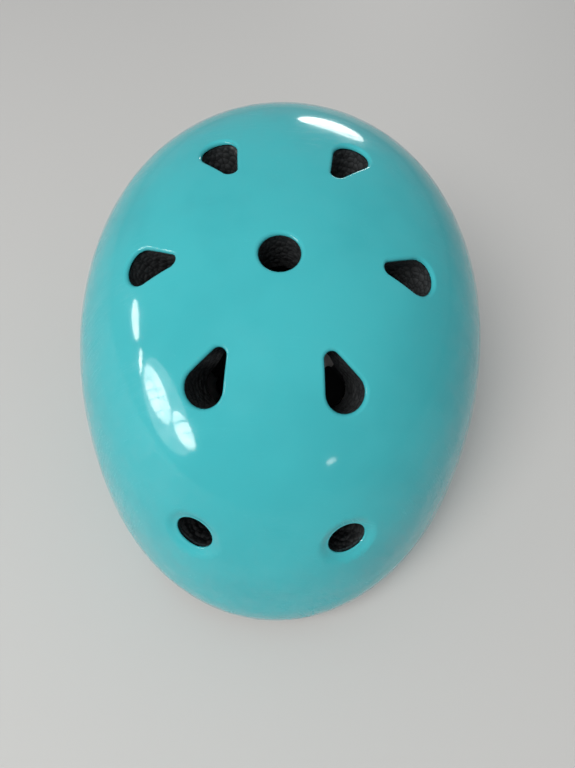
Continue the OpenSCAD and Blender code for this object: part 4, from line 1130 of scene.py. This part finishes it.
def cushion_edge(mids):
    """The pad's outline in mm, as four sides that run from corner to corner."""
    sides = []
    for quarter in range(4):
        t = np.radians(np.linspace(-45, 45, 400) + 90 * quarter)
        line = np.stack([mids[0] * corner(np.cos(t)), mids[1] * corner(np.sin(t))], -1)
        far = far_along(line)
        sides.append((far / far[-1], line))
    return sides


def cushion_grid(mids, cells):
    """A square grid drawn out to that outline: its places and the outline's, in mm."""
    i, j = (g.ravel() for g in np.meshgrid(*[np.arange(-cells, cells + 1)] * 2, indexing="ij"))
    ring = np.maximum(np.abs(i), np.abs(j))
    side = np.select([(i == ring) & (j < ring), j == ring, i == -ring], [0, 1, 2], 3)
    along = np.choose(side, [j, -i, -j, i]) / np.maximum(2 * ring, 1) + 0.5
    sides = cushion_edge(mids)
    edge = np.zeros((len(i), 2))
    for quarter, (far, line) in enumerate(sides):
        here = side == quarter
        edge[here] = np.stack([np.interp(along[here], far, line[:, k]) for k in (0, 1)], -1)
    share = 1 - (1 - ring / cells) ** 1.25
    return edge * share[:, None], np.concatenate([line for _, line in sides])


def fabric_swell(piece, pins, cap):
    """Cloth simulation: air swells the cover between its seams. Points move cap mm at most."""
    copy = piece.data.copy()
    body = new_object("swelling", copy)
    start = np.zeros(len(copy.vertices) * 3)
    copy.vertices.foreach_get("co", start)
    copy.vertices.foreach_set("co", start * SWELL_SCALE)
    sewn = body.vertex_groups.new(name="sewn")
    for k, weight in enumerate(pins):
        sewn.add([k], float(weight), "REPLACE")
    cloth = body.modifiers.new("cloth", "CLOTH")
    for key, value in SWELL_SETTINGS.items():
        setattr(cloth.settings, key, value)
    cloth.settings.effector_weights.gravity = 0
    cloth.point_cache.frame_start, cloth.point_cache.frame_end = 1, SWELL_FRAMES
    for step in range(1, SWELL_FRAMES + 1):
        SCENE.frame_set(step)
    graph = bpy.context.evaluated_depsgraph_get()
    moved = np.zeros_like(start)
    body.evaluated_get(graph).data.vertices.foreach_get("co", moved)
    SCENE.frame_set(1)
    shift = (moved / SWELL_SCALE - start).reshape(-1, 3)
    far = np.linalg.norm(shift, axis=1, keepdims=True)
    shift *= np.tanh(far / (cap * MM)) * cap * MM / np.maximum(far, 1e-9)
    piece.data.vertices.foreach_set("co", start + shift.ravel())
    bpy.data.objects.remove(body)


def cushion(name, place, mids, reach, thick, channels, cells):
    """A sewn cushion. place(u, v, depth) gives points for shares u, v of the pad's half sizes.

    mids are its half sizes in mm and channels the sewn lines across it, in mm from its middle."""
    flat, edge = cushion_grid(mids, cells)
    border = np.min(np.linalg.norm(flat[:, None] - edge[None, ::4], axis=2), axis=1)
    sewn = border.copy()
    for line in channels:
        past = np.maximum(np.abs(flat[:, 1]) - (mids[1] - CHANNEL_STOP), 0)
        sewn = np.minimum(sewn, np.hypot(flat[:, 0] - line, past) + 1.2)
    puff = np.sqrt(np.clip(1 - (1 - np.clip((sewn - SEAM_WIDE) / reach, 0, 1)) ** 2, 0, 1))
    welt = SEAM_THICK * np.sqrt(np.clip(border / 0.8, 0.12, 1))
    full = 0.86
    height = welt + (thick - PAD_SLACK - SEAM_THICK) * puff * full
    u, v = flat[:, 0] / mids[0], flat[:, 1] / mids[1]
    front = place(u, v, PAD_SLACK + height)
    back = place(u, v, PAD_SLACK + 0 * height)
    rows = 2 * cells + 1
    points = np.concatenate([front, back])
    faces = []
    for a in range(rows - 1):
        for b in range(rows - 1):
            k = a * rows + b
            face = [k, k + rows, k + rows + 1, k + 1]
            faces += [face, [c + len(front) for c in face[::-1]]]
    loop = [(rows - 1) * rows + k for k in range(rows)]
    loop += [k * rows + rows - 1 for k in range(rows - 2, -1, -1)]
    loop += list(range(rows - 2, -1, -1)) + [k * rows for k in range(1, rows - 1)]
    for a, b in zip(loop, loop[1:] + loop[:1]):
        faces.append([a, b, b + len(front), a + len(front)])
    piece = plain_piece(f"{name}_cushion", points, faces, outward=True)
    pins = np.concatenate([np.where(sewn < SEAM_WIDE, 1, 0), np.ones(len(back))])
    fabric_swell(piece, pins, PAD_SWELL)
    smooth = piece.modifiers.new("smooth", "SUBSURF")
    smooth.levels = smooth.render_levels = 1
    piece = finished(piece)
    piece.data.shade_smooth()
    hem, on_seam = edge[::12] * (1 - 1.7 / np.array(mids)), PAD_SLACK + SEAM_THICK + 0.05
    line = place(hem[:, 0] / mids[0], hem[:, 1] / mids[1], np.full(len(hem), on_seam))
    lines = [[*line, line[0]]]
    for across in channels:
        spots = np.linspace(-1, 1, 50) * (1 - CHANNEL_STOP / mids[1])
        lines.append(list(place(np.full(50, across / mids[0]), spots, np.full(50, on_seam))))
    return piece, lines


def add_pad(name, body, place, mids, reach, thick, channels, cells):
    piece, lines = cushion(name, place, mids, reach, thick, channels, cells)
    dress(piece, "pad_fabric", body, name)
    stitched(f"{name}_seams", lines, "pad_fabric", body, (2.6, 2.0, 0.19))


def add_pads():
    for name, (middle, half, channels) in PADS.items():
        mirror = -1 if name.endswith("right") else 1
        mids = (half[0] * pi / 180 * PAD_BEND, half[1])

        def place(u, v, depth, middle=middle, half=half, mirror=mirror):
            return wall_point(middle[0] - mirror * half[0] * u, middle[1] + half[1] * v, PAD_OFF + depth)

        cells = 22 if len(channels) > 1 else 18
        add_pad(name, "helmet", place, mids, SIDE_REACH, PAD_THICK, channels, cells)

    def on_crown(u, v, depth):
        return disc_point(CROWN_HALF[0] * u, CROWN_MIDDLE + CROWN_HALF[1] * v, PAD_OFF + depth)

    def on_housing(u, v, depth):
        u, v, depth = np.broadcast_arrays(u, v, depth)
        return np.stack([CRADLE_HALF[0] * u, CRADLE_Y - depth, CRADLE_Z + CRADLE_HALF[1] * v], -1)

    add_pad("crown_pad", "helmet", on_crown, CROWN_MIDS, 8, PAD_THICK, [], 14)
    add_pad("cradle_pad", "helmet", on_housing, CRADLE_HALF, 7, CRADLE_THICK, [], 14)


add_pads()


# Hook dots between the liner and the pads
DOT_R, DOT_BASE, DOT_GAP, HOOK_R = 5.0, 0.9, 0.12, 0.07
HOOK_PATH = [(0, 0), (0, 0.4), (0.1, 0.6), (0.26, 0.62), (0.36, 0.48)]


def one_hook():
    turns = (0, 2 * pi / 3, 4 * pi / 3)
    points = [(x + HOOK_R * cos(t), HOOK_R * sin(t), up) for x, up in HOOK_PATH for t in turns]
    return plain_piece("one_hook", points, tube_faces(len(HOOK_PATH), len(turns)))


def one_dot():
    """The round backing of a hook dot, with a rounded edge."""
    count = 40
    turns = np.arange(count) * 2 * pi / count
    rings = [(DOT_R, 0), (DOT_R, DOT_BASE - 0.25), (DOT_R - 0.08, DOT_BASE - 0.08), (DOT_R - 0.3, DOT_BASE)]
    points = [(r * cos(t), r * sin(t), up) for r, up in rings for t in turns]
    return plain_piece("one_dot", points, tube_faces(len(rings), count))


def add_hook_dots():
    seats = []
    for (a, z), (half, _), _ in PADS.values():
        for end in (-1, 1):
            b, z = a + end * half / 2, np.float64(z)
            seats.append((wall_point(b, z, INNER_OFF + DOT_GAP), inward(b, waist_scale(z), z)))
    for end in (-1, 1):
        v = CROWN_MIDDLE + end * CROWN_HALF[1] / 2
        a, s = (-90 if v < 0 else 90), abs(v)
        seats.append((disc_point(0.0, v, INNER_OFF + DOT_GAP), inward(a, s, height_at(s))))
    backs, hooks = [], []
    for p, n in seats:
        n = unit(n)
        x = unit(np.cross(n, [0.3, 0.2, 1]))
        y = np.cross(n, x)
        backs.append((p, (x, y, n), (1, 1, 1)))
        for row in range(-4, 5):
            for column in range(-4, 5):
                cx, cy = column + 0.5 * (row % 2), row * 0.95
                if hypot(cx, cy) < DOT_R - 0.6:
                    hooks.append((p + x * cx + y * cy + n * (DOT_BASE - 0.02), (x, y, n), (1, 1, 1)))
    backing = copied("hook_dots_backing", one_dot(), backs, "hook_fabric", "helmet")
    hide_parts("hook_dots")
    copied("hook_dots_hooks", one_hook(), hooks, "hook_fabric", "helmet")


add_hook_dots()


# Moulded fittings keep the part's shapes, with their edges rounded
MOULDED = {
    "helmet": ["strap_anchor_front_left", "strap_anchor_rear_left", "strap_anchor_front_right",
               "strap_anchor_rear_right", "dial_housing", "dial_cover", "temple_plug_left", "temple_plug_right"],
    "strap_v_left": ["strap_divider_left"],
    "strap_v_right": ["strap_divider_right"],
    "socket": ["buckle_socket"],
    "plug": ["buckle_plug"],
    "prong_inner": ["buckle_prong_inner"],
    "prong_outer": ["buckle_prong_outer"],
    "keeper": ["strap_keeper"],
    "dial": ["dial_pinion", "dial_knob"],
    "rack_left": ["rack_left"],
    "rack_right": ["rack_right"],
}
EDGE_ROUND = {"strap_keeper": 0.2, "dial_pinion": 0.1, "rack_left": 0.15, "rack_right": 0.15, "buckle_socket": 0.5,
              "buckle_plug": 0.4, "dial_knob": 0.5, "dial_housing": 0.5, "dial_cover": 0.4}
for body, nodes in MOULDED.items():
    for node in nodes:
        dress(soften(node, EDGE_ROUND.get(node, 0.3)), "plastic_black", body, node)
for node in ("cover_screws", "detent_spring"):
    dress(soften(node, 0.06, 1), "spring_steel", "helmet", node)


# Grip ribs on the buckle's two halves
BUCKLE_TOP = BAR_Z + 4
RIB_HALF, RIB_WIDE, RIB_UP, RIB_STEP = 6.5, 0.55, 0.38, 1.9


def one_rib():
    points, faces = [], []
    turns = np.linspace(0, pi, 7)
    for t in turns:
        end = RIB_HALF - 0.3 * sin(t)
        points += [(x, -RIB_WIDE * cos(t), RIB_UP * sin(t) - 0.02) for x in (-end, end)]
    for k in range(len(turns) - 1):
        faces.append((2 * k, 2 * k + 1, 2 * k + 3, 2 * k + 2))
    last = len(points)
    faces += [(0, last - 2, last - 1, 1), tuple(range(0, last, 2)), tuple(range(1, last, 2))[::-1]]
    return plain_piece("one_rib", points, faces, outward=True)


FLAT = ((1, 0, 0), (0, 1, 0), (0, 0, 1))
# Name, body, middle, first rib and count of the ribs
RIB_ROWS = (("socket_ribs", "socket", CHIN_X, -64.2, 4), ("plug_ribs", "plug", -CHIN_X, -64.0, 2))
for name, body, x, y_from, count in RIB_ROWS:
    spots = [((x, y_from - RIB_STEP * k, BUCKLE_TOP), FLAT, (1 - 0.06 * k, 1, 1)) for k in range(count)]
    copied(name, one_rib(), spots, "plastic_black", body)


for side, label in ((1, "left"), (-1, "right")):
    arm = soften(f"band_arm_{label}", 0.5, 3)
    dress(arm, "plastic_black", None, f"band_arm_{label}")
    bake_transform(arm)


# Floor and light
def add_floor():
    half = 3000
    corners = [(-half, -half, 0), (half, -half, 0), (half, half, 0), (-half, half, 0)]
    floor = plain_piece("floor", corners, [(0, 1, 2, 3)])
    floor.data.materials.append(Finish("floor", Base_Color=(0.5, 0.5, 0.497, 1), Roughness=0.7).material)


MIDDLE = (0, 0, 0.08)
# Name, bearing and rise in degrees, width and height in metres, watts, roll in degrees
WINDOWS = [
    ("window_far", 175, 15, 0.17, 0.45, 5, 78),
    ("window_thin", 188, 12, 0.06, 0.3, 1.6, 50),
    ("window", 202, 13, 0.40, 0.76, 17, 80),
    ("window_near", 220, 14, 0.32, 0.55, 11.5, 70),
    ("window_glow", 208, 13, 0.8, 1.3, 11, 75),
    ("back_window", 80, 12, 0.6, 0.34, 6, 0),
    ("small_window", 300, 15, 0.18, 0.08, 0.7, 0),
]


def add_lamp(name, place, wide, high, power, seen=True, roll=0):
    """A soft lamp that faces the helmet; one that isn't seen leaves no reflection."""
    data = bpy.data.lights.new(name, "AREA")
    data.shape, data.size, data.size_y, data.energy = "ELLIPSE", wide, high, power
    data.color = (1.0, 0.97, 0.93)
    lamp = new_object(name, data)
    lamp.location = place
    facing = (Vector(MIDDLE) - Vector(place)).to_track_quat("-Z", "Y")
    lamp.rotation_euler = (facing @ Quaternion((0, 0, 1), radians(roll))).to_euler()
    lamp.visible_glossy, lamp.visible_diffuse = seen, not seen


def compass(bearing, rise, far=2.0):
    """A place at a bearing from +X towards +Y and a rise, in degrees, seen from the helmet."""
    a, e = radians(bearing), radians(rise)
    return tuple(m + far * c for m, c in zip(MIDDLE, (cos(a) * cos(e), sin(a) * cos(e), sin(e))))


def light_room():
    world = bpy.data.worlds.new("room")
    world.use_nodes = True
    sky = world.node_tree.nodes["Background"].inputs
    sky["Color"].default_value, sky["Strength"].default_value = (0.95, 0.98, 1.0, 1), 0.4
    SCENE.world = world
    add_lamp("sky", compass(232, 54, 2.4), 1.8, 1.8, 60, seen=False)
    for name, bearing, rise, wide, high, power, roll in WINDOWS:
        add_lamp(name, compass(bearing, rise), wide, high, power, roll=roll)


add_floor()
light_room()
SCENE.view_settings.view_transform = "Standard"
